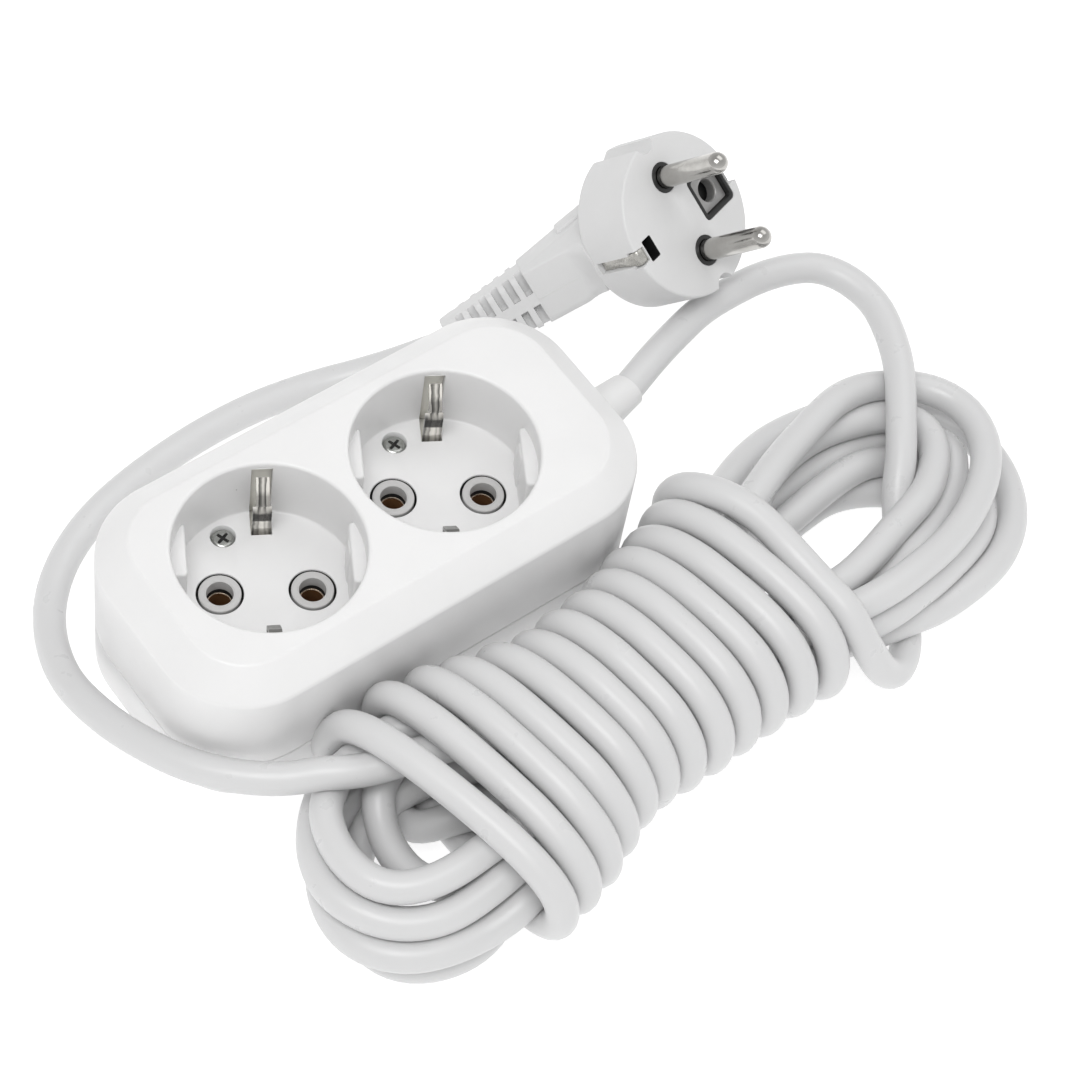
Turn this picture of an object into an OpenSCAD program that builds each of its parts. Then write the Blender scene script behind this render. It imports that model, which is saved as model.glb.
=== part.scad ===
// Two-way earthed extension cord: socket block, moulded angled plug and a tied hank of round cord.
// Millimetres, +Z up. Origin at the centre of the block's underside, +X towards the end that the cord leaves.

/* [Block] */
// Length of the socket block
block_l = 114; // [112:0.5:120]
// Width of the socket block
block_w = 57.6; // [57:0.2:60]
// Height of the block from the table to the flat top
block_h = 42; // [42:0.5:45]
// Corner radius in plan
corner_r = 19; // [18:0.5:20]
// How far the sloped band steps in, seen from above
band_in = 6.5; // [5:0.5:7]
// How far the sloped band drops
band_drop = 5.6; // [4.5:0.1:6]
// Height of the joint between the base tray and the cover
split_z = 13; // [11:0.5:13.5]
// Wall thickness of the casings
wall = 2.2; // [1.8:0.1:2.4]

/* [Sockets] */
// Distance between the two socket centres
pitch = 43.5; // [43:0.1:43.6]
// Offset of the socket pair away from the cord end
socket_shift = -3.6; // [-3.8:0.1:-3.2]
// Turn of the pin line from the block's long axis, degrees
pin_turn = -30; // [-33:1:-28]
// Radius of the recess that takes the plug head
well_r = 19.8; // [19.6:0.05:19.9]
// Depth of the recess
well_depth = 17.5; // [17.5:0.1:18]
// Half the distance between the two pins
pin_half = 9.5; // [9.4:0.1:9.6]
// Radius of the pin holes in the grey carriers
hole_r = 2.85; // [2.6:0.05:3]

/* [Plug] */
// Radius of the plug pins
pin_r = 2.4; // [2.35:0.05:2.4]
// Length of the plug pins
pin_len = 19; // [18.5:0.1:19]
// Radius of the plug face
head_r = 18.25; // [18:0.05:18.5]
// Straight depth of the plug head
head_d = 14; // [13:0.5:15]
// Angle between the plug's back and its neck, degrees
neck_turn = 50; // [48:1:52]

/* [Cord] */
// Diameter of the cord
cord_d = 7; // [6.8:0.1:7.2]
// Height of the tied hank
hank_h = 34; // [32:0.5:36]

/* [Hidden] */

hx = block_l / 2;
hy = block_w / 2;
band_z = block_h - band_drop;
floor_z = block_h - well_depth;      // recess floor
floor_t = 2.4;
under_z = floor_z - floor_t;         // underside of the recess floor
cup_r = min(well_r + 1.9, pitch / 2 - 0.05); // outside of the recess wall
C1 = socket_shift - pitch / 2;
C2 = socket_shift + pitch / 2;
ca = cos(pin_turn);
sa = sin(pin_turn);
bar_y = -pin_half * sa;              // the two bars run along X at +bar_y and -bar_y
bar_dx = pin_half * ca;
sleeve_top = floor_z - 5.1;
strip_z = under_z - 1.1;             // underside of the earth strip
clip_q = 14.9;                       // spring clip distance from the socket centre
clip_z = under_z - 0.2;              // height of the clip hinge line
exit_y = -0.6;
exit_z = 23;
cr = cord_d / 2;

// plug placement: centre of the face between the pins, then the turn of its axes
PLUG_T = [96.2, 19.8, 46];
PLUG_R = [-6.9, 40.4, -76.9];
neck_z = -14.2;                      // neck axis leaves the head axis here
neck_a = neck_turn + 80;
neck_l = 29.7;                       // neck end, start of the slotted relief
tail_l = 49;                         // relief end

// route of the cord from the block to the hank
LEAD_A = [[57, -0.6, 23], [65, -0.5, 23], [70, 1, 23.1], [75, 2.9, 23.6], [82, 5, 24.2], [89, 6.9, 24.4], [96, 8.6, 24.3],
    [106.5, 9.1, 23.4], [118, 8.9, 22.6], [127, 6, 22], [131.8, -1.5, 21.2], [131.2, -10, 20.9], [127.5, -20, 20.7], [122, -30, 20.5]];
// route of the cord from the plug to the hank; the first point is added at the relief's end
LEAD_B = [[42.5, 38.6, 9.6], [35, 43.2, 5.6], [20, 49.3, 3.8], [5.7, 51.2, 3.6], [-7, 51.4, 3.6], [-19.7, 49.9, 3.6],
    [-30, 48, 3.6], [-39.7, 45, 3.6], [-49.5, 39.6, 3.8], [-57.2, 32.3, 4.8], [-63.4, 20.4, 7.5], [-66, 10.5, 10],
    [-65.8, 2, 12.5], [-63, -11.8, 15.5], [-59.3, -21.2, 17], [-53.2, -29.2, 18], [-42, -37.2, 18.5], [-28, -45, 19.5]];

function unit(v) = v / norm(v);
// frames carried along a route: a ring of points round each route point
function tang(p, i) = i == 0 ? unit(p[1] - p[0]) : i == len(p) - 1 ? unit(p[i] - p[i - 1]) : unit(unit(p[i + 1] - p[i]) + unit(p[i] - p[i - 1]));
function side(t, s) = unit(s - t * (s * t));
function sides(p, s0, i = 0, acc = []) = i == len(p) ? acc :
    let (s = side(tang(p, i), i == 0 ? s0 : acc[i - 1])) sides(p, s0, i + 1, concat(acc, [s]));

module sweep(p, r, n, s0 = [0.02, 0.1, 1]) {
    ss = sides(p, s0);
    pts = [for (i = [0:len(p) - 1]) let (t = tang(p, i), a = ss[i], b = cross(t, a))
        for (k = [0:n - 1]) p[i] + r * (cos(360 * k / n) * a + sin(360 * k / n) * b)];
    faces = concat([[for (k = [n - 1:-1:0]) k]],
        [for (i = [0:len(p) - 2]) for (k = [0:n - 1]) [i * n + k, i * n + (k + 1) % n, (i + 1) * n + (k + 1) % n, (i + 1) * n + k]],
        [[for (k = [0:n - 1]) (len(p) - 1) * n + k]]);
    polyhedron(pts, [for (f = faces) [for (j = [len(f) - 1:-1:0]) f[j]]], convexity = 10);
}

module at_socket(cx) translate([cx, 0, 0]) rotate([0, 0, pin_turn]) children();
module at_plug() translate(PLUG_T) rotate(PLUG_R) children();
module at_neck() at_plug() translate([0, 0, neck_z]) rotate([neck_a, 0, 0]) children();

// upright prism on a rounded rectangle, stepped in by d
module slab(d, z0, z1) {
    r = corner_r - d;
    x = hx - corner_r;
    y = hy - corner_r;
    translate([-hx + d, -y, z0]) cube([2 * (hx - d), 2 * y, z1 - z0]);
    translate([-x, -hy + d, z0]) cube([2 * x, 2 * (hy - d), z1 - z0]);
    for (i = [-1, 1], j = [-1, 1]) translate([i * x, j * y, z0]) cylinder(r = r, h = z1 - z0, $fn = 96);
}

// sloped band: the same outline stepped in from d0 at z0 to d1 at z1
module slope(d0, d1, z0, z1) {
    x = hx - corner_r;
    y = hy - corner_r;
    rotate([90, 0, 0]) translate([0, 0, -y]) linear_extrude(height = 2 * y)
        polygon([[-hx + d0, z0], [hx - d0, z0], [hx - d1, z1], [-hx + d1, z1]]);
    rotate([90, 0, 90]) translate([0, 0, -x]) linear_extrude(height = 2 * x)
        polygon([[-hy + d0, z0], [hy - d0, z0], [hy - d1, z1], [-hy + d1, z1]]);
    for (i = [-1, 1], j = [-1, 1]) translate([i * x, j * y, z0]) cylinder(r1 = corner_r - d0, r2 = corner_r - d1, h = z1 - z0, $fn = 96);
}

// guide lug at one end of the pin line: a flat pad with a narrow rib standing above it
module lug() {
    intersection() {
        translate([0, 0, floor_z]) cylinder(r = well_r + 0.6, h = 15, $fn = 96);
        union() {
            translate([16.2, -8, floor_z]) cube([6, 16, 10]);
            translate([17.3, -2.7, floor_z]) cube([5, 5.4, 15]);
        }
    }
}

// hollow of the cover
module cover_hollow() {
    slab(wall, split_z - 0.1, band_z - 0.8);
    slope(wall, wall + band_in * (block_h - wall - band_z + 0.8) / band_drop, band_z - 0.8, block_h - wall);
}

module housing_cover() color("white") {
    difference() {
        union() {
            slab(0, split_z, band_z);
            slope(0, band_in, band_z, block_h);
        }
        cover_hollow();
        // round openings that the two recesses fill
        for (c = [C1, C2]) translate([c, 0, under_z]) cylinder(r = cup_r + 0.02, h = 40, $fn = 96);
        // round way out for the cord
        translate([hx - 4, exit_y, exit_z]) rotate([0, 90, 0]) cylinder(r = 6, h = 10, $fn = 64);
    }
}

// slots for the two earth clips of a recess, through its floor and its wall
module clip_slots(c) at_socket(c) for (s = [0, 180]) rotate([0, 0, s])
    translate([-2.2, 13.8, under_z - 1]) cube([4.4, cup_r - 13.8 + 0.6, block_h - 1.7 - under_z + 1]);

// wall of one recess, with its two guide lugs
module outlet_wall(c) color("white") {
    difference() {
        union() {
            difference() {
                translate([c, 0, floor_z]) cylinder(r = cup_r, h = block_h - floor_z, $fn = 96);
                translate([c, 0, floor_z - 1]) cylinder(r = well_r, h = 40, $fn = 96);
            }
            at_socket(c) for (s = [0, 180]) rotate([0, 0, s]) lug();
        }
        clip_slots(c);
    }
}
module outlet_wall_1() outlet_wall(C1);
module outlet_wall_2() outlet_wall(C2);

// floor of one recess, with a screw post below it
module outlet_floor(c) color("white") {
    difference() {
        union() {
            translate([c, 0, under_z]) cylinder(r = cup_r, h = floor_t, $fn = 96);
            translate([c, 16, split_z + 0.2]) cylinder(r = 3.3, h = under_z - split_z, $fn = 32);
        }
        // pin openings for the carrier tubes
        at_socket(c) for (s = [-1, 1]) translate([s * pin_half, 0, under_z - 1]) cylinder(r = 4.75, h = 5, $fn = 48);
        clip_slots(c);
        // counterbore and clearance hole for the cover screw
        translate([c, 16, floor_z - 4.1]) cylinder(r = 2.65, h = 10, $fn = 32);
        translate([c, 16, split_z - 1]) cylinder(r = 1.7, h = 20, $fn = 32);
    }
}
module outlet_floor_1() outlet_floor(C1);
module outlet_floor_2() outlet_floor(C2);

module housing_base() color("white") {
    difference() {
        union() {
            difference() {
                slab(0, 0, split_z);
                slab(wall, wall, split_z + 1);
            }
            // lip that sits inside the cover
            difference() {
                union() {
                    slab(wall - 0.2, split_z - 2, split_z);
                    slab(wall + 0.15, split_z - 0.1, split_z + 1.8);
                }
                slab(wall + 1.6, split_z - 3, split_z + 3);
                translate([hx - 8, exit_y - 8.2, split_z]) cube([12, 16.4, 5]);
            }
            // posts for the cover screws
            for (c = [C1, C2]) translate([c, 16, wall - 0.2]) cylinder(r = 3.3, h = split_z - wall + 0.2, $fn = 48);
            // pillars under the contact carriers
            for (c = [C1, C2]) translate([c, 0, wall - 0.2]) cylinder(r = 2.5, h = 6.1 - wall + 0.2, $fn = 48);
            // ribs that carry the two bars
            for (s = [-1, 1]) translate([C1 - 12, s * bar_y - 1.1, wall - 0.2]) cube([C2 - C1 + 24, 2.2, 1.2]);
            // pedestal under the cord clamp
            translate([44.4, exit_y - 9, wall - 0.2]) cube([4.6, 18, exit_z - cr - 0.1 - wall + 0.2]);
        }
        for (c = [C1, C2]) translate([c, 16, wall + 1]) cylinder(r = 1.55, h = split_z, $fn = 32);
        for (s = [-1, 1]) translate([46.7, exit_y + s * 6.6, 8]) cylinder(r = 1.45, h = 20, $fn = 32);
    }
}

// grey insulating carrier: two tubes flush with the recess floor on a block that shrouds the sleeves
module carrier(cx) color("gainsboro") at_socket(cx) {
    difference() {
        union() {
            for (s = [-1, 1]) translate([s * pin_half, 0, strip_z - 2]) cylinder(r = 4.4, h = floor_z - strip_z + 2, $fn = 64);
            translate([-pin_half, -5.4, 6.2]) cube([2 * pin_half, 10.8, strip_z - 0.1 - 6.2]);
            for (s = [-1, 1]) translate([s * pin_half, 0, 6.2]) cylinder(r = 5.4, h = strip_z - 0.1 - 6.2, $fn = 64);
        }
        for (s = [-1, 1]) translate([s * pin_half, 0, 0]) {
            cylinder(r = hole_r, h = 60, $fn = 64);
            translate([0, 0, 5]) cylinder(r = 3.9, h = sleeve_top + 0.3 - 5, $fn = 64);
        }
    }
}
module contact_carrier_1() carrier(C1);
module contact_carrier_2() carrier(C2);

// brass bar with a split sleeve for one pin of each socket; s picks the side
module bar(s) color("peru") {
    difference() {
        union() {
            translate([C1 - s * bar_dx - 5, s * bar_y - 1.7, 3.3]) cube([43.4 - (C1 - s * bar_dx - 5), 3.4, 0.8]);
            for (c = [C1, C2]) translate([c - s * bar_dx, s * bar_y, 0]) {
                translate([0, 0, 3.3]) cylinder(r = 3.1, h = 0.8, $fn = 48);
                translate([0, 0, 3.3]) cylinder(r = 3.1, h = sleeve_top - 3.3, $fn = 48);
            }
            translate([37.6, s * bar_y - 3.7, 3.3]) cube([5.8, 7.4, 0.8]);
        }
        for (c = [C1, C2]) translate([c - s * bar_dx, s * bar_y, 0]) {
            translate([0, 0, 4.3]) cylinder(r = 2.45, h = 30, $fn = 48);
            rotate([0, 0, pin_turn]) translate([-4, -0.4, 7]) cube([8, 0.8, 20]);
        }
        translate([40.6, s * bar_y, 0]) cylinder(r = 1.1, h = 10, $fn = 32);
    }
}
module live_bar() bar(1);
module neutral_bar() bar(-1);

// nickel strip under the recess floors: a cross piece and two upright leaves a socket, joined by a rail
module earth_strip() color("lightgrey") {
    difference() {
        union() {
            for (c = [C1, C2]) at_socket(c) {
                translate([-2, -22.7, strip_z]) cube([4, 45.4, 0.8]);
                for (s = [0, 180]) rotate([0, 0, s]) translate([-2.6, 22.1, strip_z]) cube([5.2, 0.6, block_h - 2.6 - strip_z]);
            }
            translate([C1 + 5.2, 9.6, strip_z]) cube([C2 - C1 + 16, 2.2, 0.8]);
        }
        translate([C2 + 18.6, 10.7, 0]) cylinder(r = 0.85, h = 40, $fn = 32);
    }
}

// sprung earth clip: a bracket, a bump that touches the plug, and a narrow tongue leaning back to the wall
module clip(cx, turn) color("silver") at_socket(cx) rotate([0, 0, turn]) {
    rotate([90, 0, 90]) {
        translate([0, 0, -1.95]) linear_extrude(height = 3.9)
            polygon([[14.6, clip_z], [15.2, clip_z], [15.2, 31.2], [15.9, 32.2], [15.5, 32.7], [14.6, 31.6]]);
        translate([0, 0, -1.35]) linear_extrude(height = 2.7)
            polygon([[15.9, 32.2], [15.5, 32.7], [14.3, 34.3], [14.3, 35.1], [17.6, 39], [18.4, 39.2], [18.6, 38.7], [18, 38.4], [14.95, 34.7], [16.4, 32.8]]);
    }
}
module earth_clip_1_far() clip(C1, 0);
module earth_clip_1_near() clip(C1, 180);
module earth_clip_2_far() clip(C2, 0);
module earth_clip_2_near() clip(C2, 180);

module cover_screws() color("silver") for (c = [C1, C2]) translate([c, 16, 0]) difference() {
    union() {
        translate([0, 0, floor_z - 4]) cylinder(r = 2.55, h = 1.4, $fn = 48);
        translate([0, 0, floor_z - 2.6]) cylinder(r1 = 2.55, r2 = 1.7, h = 0.6, $fn = 48);
        translate([0, 0, 4.4]) cylinder(r = 1.5, h = floor_z - 4 - 4.4, $fn = 32);
    }
    for (a = [20, 110]) rotate([0, 0, a]) translate([-1.5, -0.3, floor_z - 3.2]) cube([3, 0.6, 3]);
}

module terminal_screws() color("silver") {
    for (s = [-1, 1]) translate([40.6, s * bar_y, 0]) difference() {
        union() {
            translate([0, 0, 2.7]) cylinder(r = 1.05, h = 4, $fn = 32);
            translate([0, 0, 6.6]) cylinder(r = 2.6, h = 1.5, $fn = 32);
        }
        translate([-3, -0.3, 7.5]) cube([6, 0.6, 1]);
    }
    translate([C2 + 18.6, 10.7, strip_z]) difference() {
        union() {
            translate([0, 0, -4.1]) cylinder(r = 2.6, h = 1.6, $fn = 32);
            translate([0, 0, -2.6]) cylinder(r = 0.8, h = 3.3, $fn = 32);
        }
        translate([-3, -0.3, -5.1]) cube([6, 0.6, 1.6]);
    }
}

module cord_clamp() color("gainsboro") difference() {
    translate([44.6, exit_y - 8.8, exit_z + cr - 1.4]) cube([4.2, 17.6, 4]);
    translate([40, exit_y, exit_z]) rotate([0, 90, 0]) cylinder(r = cr + 0.05, h = 20, $fn = 64);
    for (s = [-1, 1]) translate([46.7, exit_y + s * 6.6, 0]) cylinder(r = 1.6, h = 60, $fn = 32);
}

module clamp_screws() color("silver") for (s = [-1, 1]) translate([46.7, exit_y + s * 6.6, 0]) difference() {
    union() {
        translate([0, 0, exit_z + cr + 2.6]) cylinder(r = 2, h = 1.5, $fn = 32);
        translate([0, 0, 10]) cylinder(r = 1.4, h = exit_z + cr + 2.7 - 10, $fn = 32);
    }
    for (a = [35, 125]) rotate([0, 0, a]) translate([-1.3, -0.25, exit_z + cr + 3.4]) cube([2.6, 0.5, 2]);
}

// tapered bush round the cord where it leaves the cover
module cord_grommet() color("white") translate([0, exit_y, exit_z]) rotate([0, 90, 0]) rotate_extrude($fn = 64)
    polygon([[cr + 0.05, 49.2], [5, 49.2], [5, hx - wall - 2.2], [7.3, hx - wall - 2.2], [7.3, hx - wall - 0.2], [5.9, hx - wall - 0.2],
        [5.9, hx], [6.6, hx], [6.6, hx + 1], [5.2, hx + 1], [3.95, hx + 12.5], [cr + 0.05, hx + 12.5]]);

module cord_inner() color("whitesmoke") translate([43.6, exit_y, exit_z]) rotate([0, 90, 0]) cylinder(r = cr, h = 57 - 43.6, $fn = 48);

module wire_live() color("saddlebrown")
    sweep([[43.6, -0.6, 21], [42.9, -0.6, 21], [41.8, 0.6, 19.2], [40.4, 2.6, 17], [38, 5, 14.6], [35.8, 6.7, 11.5], [35, 7.05, 8.8], [35.6, 7.05, 6.6], [37.6, 7.05, 5.4], [40, 7.05, 5.35], [42, 7.05, 5.35]], 1.15, 8, [0, 1, 0.1]);
module wire_neutral() color("royalblue")
    sweep([[43.6, -2.2, 23.4], [42.9, -2.2, 23.4], [42, -2.8, 21.9], [41.1, -3.6, 19.6], [38.4, -5.4, 16.4], [35.8, -6.8, 12.5], [35, -7.05, 9], [35.6, -7.05, 6.6], [37.6, -7.05, 5.4], [40, -7.05, 5.35], [42, -7.05, 5.35]], 1.15, 8, [0, 1, 0.1]);
module wire_earth() color("yellowgreen")
    sweep([[43.6, 1.2, 23.3], [42.9, 1.2, 23.3], [42.2, 3, 22], [41.6, 5.4, 20.3], [40.3, 8, 19.8], [39.2, 10.2, 19.75], [38.9, 12.6, 19.8]], 1.15, 8, [0, 1, 0.1]);

// over-moulded plug body: round head, angled neck and slotted relief
module plug_body() color("white") difference() {
    union() {
        at_plug() {
            translate([0, 0, -head_d]) cylinder(r = head_r, h = head_d, $fn = 96);
            translate([0, 0, -head_d - 6]) cylinder(r1 = 13, r2 = head_r, h = 6.01, $fn = 96);
        }
        at_neck() {
            hull() {
                translate([-11, -8.5, 1]) cube([22, 17, 1]);
                translate([-7, -6.2, neck_l - 1]) cube([14, 12.4, 1]);
            }
            hull() {
                translate([-6, -5.6, neck_l - 0.1]) cube([12, 11.2, 0.5]);
                translate([-5, -4.7, tail_l - 1]) cube([10, 9.4, 1]);
            }
        }
    }
    at_plug() {
        // keyed grooves at the two ends of the pin line
        for (s = [-1, 1]) translate([s * (head_r + 0.4), 0, -head_d - 9]) cylinder(r = 2.7, h = 30, $fn = 48);
        // grooves for the side earth strips
        for (s = [-1, 1]) translate([-2.3, s * (head_r - 1.4) - 1.7, -12]) cube([4.6, 3.4, 20]);
        // seat for the black bridge
        for (s = [-1, 1]) translate([s * pin_half, 0, -9]) cylinder(r = 3.4, h = 20, $fn = 48);
        translate([-5.2, 4.6, -6]) cube([10.4, 10.8, 20]);
        translate([-12.9, -3.4, -9]) cube([25.8, 8.2, 3.4]);
    }
    at_neck() {
        for (k = [0:5], s = [-1, 1]) {
            translate([s * 1.1 + (s > 0 ? 0 : -8), 2.9, neck_l + 1 + 3.15 * k + (s > 0 ? 0 : 1.5)]) cube([8, 6, 1.5]);
            translate([s * 1.1 + (s > 0 ? 0 : -8), -8.9, neck_l + 1 + 3.15 * k + (s > 0 ? 0 : 1.5)]) cube([8, 6, 1.5]);
        }
        // cord bore
        translate([0, 0, 6]) cylinder(r = cr + 0.05, h = 60, $fn = 48);
    }
}

// black bridge that holds the pins: two collars, a plate and the frame round the earth hole
module plug_bridge() color([0.12, 0.12, 0.12]) at_plug() difference() {
    union() {
        for (s = [-1, 1]) translate([s * pin_half, 0, -8.9]) cylinder(r = 3.35, h = 8.9, $fn = 48);
        translate([-12.8, -3.3, -8.9]) cube([25.6, 8, 3.2]);
        translate([-5.15, 4.65, -5.9]) cube([10.3, 10.4, 5.8]);
    }
    for (s = [-1, 1]) translate([s * pin_half, 0, -20]) cylinder(r = 2.05, h = 40, $fn = 48);
    translate([-4.2, 5.6, -4.6]) cube([8.4, 8.5, 10]);
    translate([-2.2, 12, -4.6]) cube([4.4, 6, 10]);
}

module plug_pin(s) color("silver") at_plug() translate([s * pin_half, 0, 0]) {
    translate([0, 0, -9]) cylinder(r = 2, h = 9.1, $fn = 48);
    cylinder(r = pin_r, h = pin_len - pin_r, $fn = 64);
    translate([0, 0, pin_len - pin_r]) sphere(r = pin_r, $fn = 64);
}
module plug_pin_a() plug_pin(-1);
module plug_pin_b() plug_pin(1);

// earth contact of the plug: two side strips, and a plate with the round earth hole joined to one of them
module plug_earth_contact() color("silver") at_plug() {
    translate([-2.1, -head_r + 0.6, -11.8]) cube([4.2, 1, 11.6]);
    translate([-2.1, head_r - 1.6, -11.8]) cube([4.2, 1, 11.6]);
    difference() {
        union() {
            translate([-3.9, 6, -2.4]) cube([7.8, 7.8, 0.8]);
            translate([-2.1, 13, -2.4]) cube([4.2, head_r - 1.2 - 13, 0.8]);
        }
        translate([0, 10, -10]) cylinder(r = 2.5, h = 20, $fn = 48);
    }
}

module cord_lead_block() color("whitesmoke") sweep(LEAD_A, cr - 0.02, 10);
function neck_pt(s) = let (a = neck_a, x = PLUG_R[0], y = PLUG_R[1], z = PLUG_R[2],
    v = [0, -sin(a) * s, neck_z + cos(a) * s],
    v1 = [v[0], v[1] * cos(x) - v[2] * sin(x), v[1] * sin(x) + v[2] * cos(x)],
    v2 = [v1[0] * cos(y) + v1[2] * sin(y), v1[1], -v1[0] * sin(y) + v1[2] * cos(y)],
    v3 = [v2[0] * cos(z) - v2[1] * sin(z), v2[0] * sin(z) + v2[1] * cos(z), v2[2]]) PLUG_T + v3;
module cord_lead_plug() color("whitesmoke") sweep(concat([neck_pt(tail_l - 4), neck_pt(tail_l + 1)], LEAD_B), cr - 0.02, 10);

// outer shape of the hank: loops at both ends and the wraps round its middle
function arc(c, r, a0, a1, n) = [for (i = [0:n]) c + r * [cos(a0 + (a1 - a0) * i / n), sin(a0 + (a1 - a0) * i / n)]];
module cord_hank() color("whitesmoke") linear_extrude(height = hank_h)
    polygon(concat(arc([110, -46.5], 30, -85, 85, 20), [[62, -22], [47, -30.5], [-37, -30.5]],
        arc([-30, -65], 25.5, 155, 255, 14), [[-22, -91], [0, -90], [20, -82], [84, -85]]));

housing_cover();
outlet_wall_1();
outlet_wall_2();
outlet_floor_1();
outlet_floor_2();
housing_base();
contact_carrier_1();
contact_carrier_2();
live_bar();
neutral_bar();
earth_strip();
earth_clip_1_far();
earth_clip_1_near();
earth_clip_2_far();
earth_clip_2_near();
cover_screws();
terminal_screws();
cord_clamp();
clamp_screws();
cord_grommet();
cord_inner();
wire_live();
wire_neutral();
wire_earth();
plug_body();
plug_bridge();
plug_pin_a();
plug_pin_b();
plug_earth_contact();
cord_lead_block();
cord_lead_plug();
cord_hank();
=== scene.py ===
"""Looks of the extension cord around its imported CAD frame. All lengths in this file are in millimetres
until they reach a mesh, and the frame is the CAD's: origin under the middle of the socket block, +X to the
end the cord leaves, +Z up out of the sockets."""
import bpy
import bmesh
import math
import numpy as np
from mathutils import Matrix, Vector
from mathutils.geometry import delaunay_2d_cdt


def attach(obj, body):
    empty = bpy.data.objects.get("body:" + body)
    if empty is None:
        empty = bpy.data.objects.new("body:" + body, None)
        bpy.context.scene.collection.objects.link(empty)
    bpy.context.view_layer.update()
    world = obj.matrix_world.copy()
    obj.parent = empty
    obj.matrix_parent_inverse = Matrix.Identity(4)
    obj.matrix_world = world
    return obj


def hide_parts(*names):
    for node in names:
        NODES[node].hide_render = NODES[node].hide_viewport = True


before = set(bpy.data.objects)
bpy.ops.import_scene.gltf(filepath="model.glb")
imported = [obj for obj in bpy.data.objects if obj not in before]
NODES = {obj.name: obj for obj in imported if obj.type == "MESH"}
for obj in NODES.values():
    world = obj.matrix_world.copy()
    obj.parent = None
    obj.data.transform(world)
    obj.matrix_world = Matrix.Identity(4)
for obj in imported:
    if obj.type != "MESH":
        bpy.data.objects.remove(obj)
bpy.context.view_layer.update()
SC = bpy.context.scene
MM = 0.001
rad = math.radians


# ------------------------------------------------------------------ camera
cam_data = bpy.data.cameras.new("camera")
cam_data.type = "PERSP"
cam_data.sensor_width = 36.0
cam_data.lens = 108.86
cam_data.clip_start = 0.01
cam_data.clip_end = 20
cam = bpy.data.objects.new("camera", cam_data)
SC.collection.objects.link(cam)
cr_ = Vector((0.797776, -0.593344, 0.107221))
cd_ = Vector((-0.456894, -0.710925, -0.534634))
cf_ = Vector((0.393448, 0.377530, -0.838254))
cp_ = Vector((-238.991, -278.276, 596.927)) * MM
cam.matrix_world = Matrix(((cr_.x, -cd_.x, -cf_.x, cp_.x), (cr_.y, -cd_.y, -cf_.y, cp_.y), (cr_.z, -cd_.z, -cf_.z, cp_.z), (0, 0, 0, 1)))
SC.camera = cam


# ------------------------------------------------------------------ dimensions (as the CAD has them)
BL, BW, BH, CR = 114.0, 57.6, 42.0, 19.0
BAND_IN, BAND_Z, SPLIT = 6.5, 36.4, 13.0
C1, C2 = -25.35, 18.15
WELL_R, FLOOR_Z = 19.8, 24.5
CA, SA = math.cos(rad(-30)), math.sin(rad(-30))
CORD_R = 3.5
PLUG_T = Vector((96.2, 19.8, 46.0))
PLUG_R = (-6.9, 40.4, -76.9)


def rotm(deg):
    x, y, z = (rad(a) for a in deg)
    return Matrix.Rotation(z, 3, "Z") @ Matrix.Rotation(y, 3, "Y") @ Matrix.Rotation(x, 3, "X")


RP = rotm(PLUG_R)


def plug_pt(v):
    return RP @ Vector(v) + PLUG_T


RN = Matrix.Rotation(rad(130), 3, "X")


def neck_pt(v):
    return plug_pt(RN @ Vector(v) + Vector((0, 0, -14.2)))


# ------------------------------------------------------------------ route of the cord
LEAD_A = [(55, -0.6, 23), (60, -0.6, 23), (65, -0.3, 23), (70, 1.1, 23.2), (75, 2.9, 23.6), (82, 5, 24.2), (89, 6.9, 24.4), (96, 8.6, 24.3), (106.5, 9.2, 23.4), (112.5, 9.3, 22.9), (117.7, 8.6, 22.5), (122.6, 7.4, 22.2), (126.7, 5.6, 22), (129.9, 2.2, 21.5), (131.7, -2.3, 21.1), (132.5, -9.6, 20.9), (129.9, -17.3, 20.8), (126.4, -24.7, 20.8), (117.3, -37.2, 18.6), (113.7, -42.4, 16.6), (110.5, -46.5, 14.6), (107.3, -50.8, 12.8), (103.4, -55.7, 11.2), (100.2, -60.7, 9.6), (97.2, -65.8, 6.8), (94.2, -70.7, 4.6), (90.7, -75.5, 3.6)]
CROSS = [(87.3, -78.1, 3.9), (82.9, -80.5, 5.5), (80.3, -80.6, 7.8), (78, -80.1, 10.8), (76.2, -78.7, 14.5), (74.7, -76.8, 18), (73, -73.4, 22.3), (72.1, -70.1, 25),
    (71.4, -66.3, 27.2), (70.9, -62.6, 28.8), (70.2, -58.3, 30), (69.6, -54.1, 30.6), (69.5, -48.5, 30.9), (69, -43.6, 31), (67.2, -37.7, 30.9),
    (65.9, -34.5, 30.3), (64.6, -31.7, 29.3), (63.1, -28.5, 27.2), (61.9, -26.3, 24.2)]
WRAP_NEAR = [(64.8, -77), (56.4, -76.7), (48.4, -76.9), (40.8, -77.3), (33.4, -77.8), (26.0, -77.9), (19.0, -77.8), (12.3, -79.2),
    (5.2, -82.4), (-1.5, -85.8), (-8.6, -88.3), (-15.7, -90.3)]
WRAP_FAR = [(62.5, -24.0), (55.6, -27.8), (48.3, -30.9), (41.2, -32.7), (34.6, -34.9), (27.6, -36.6), (20.2, -37.4), (12.9, -38.6),
    (5.2, -36.9), (-3.0, -34.9), (-9.8, -32.9), (-18.9, -31.5), (-29.4, -32.5)]
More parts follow.
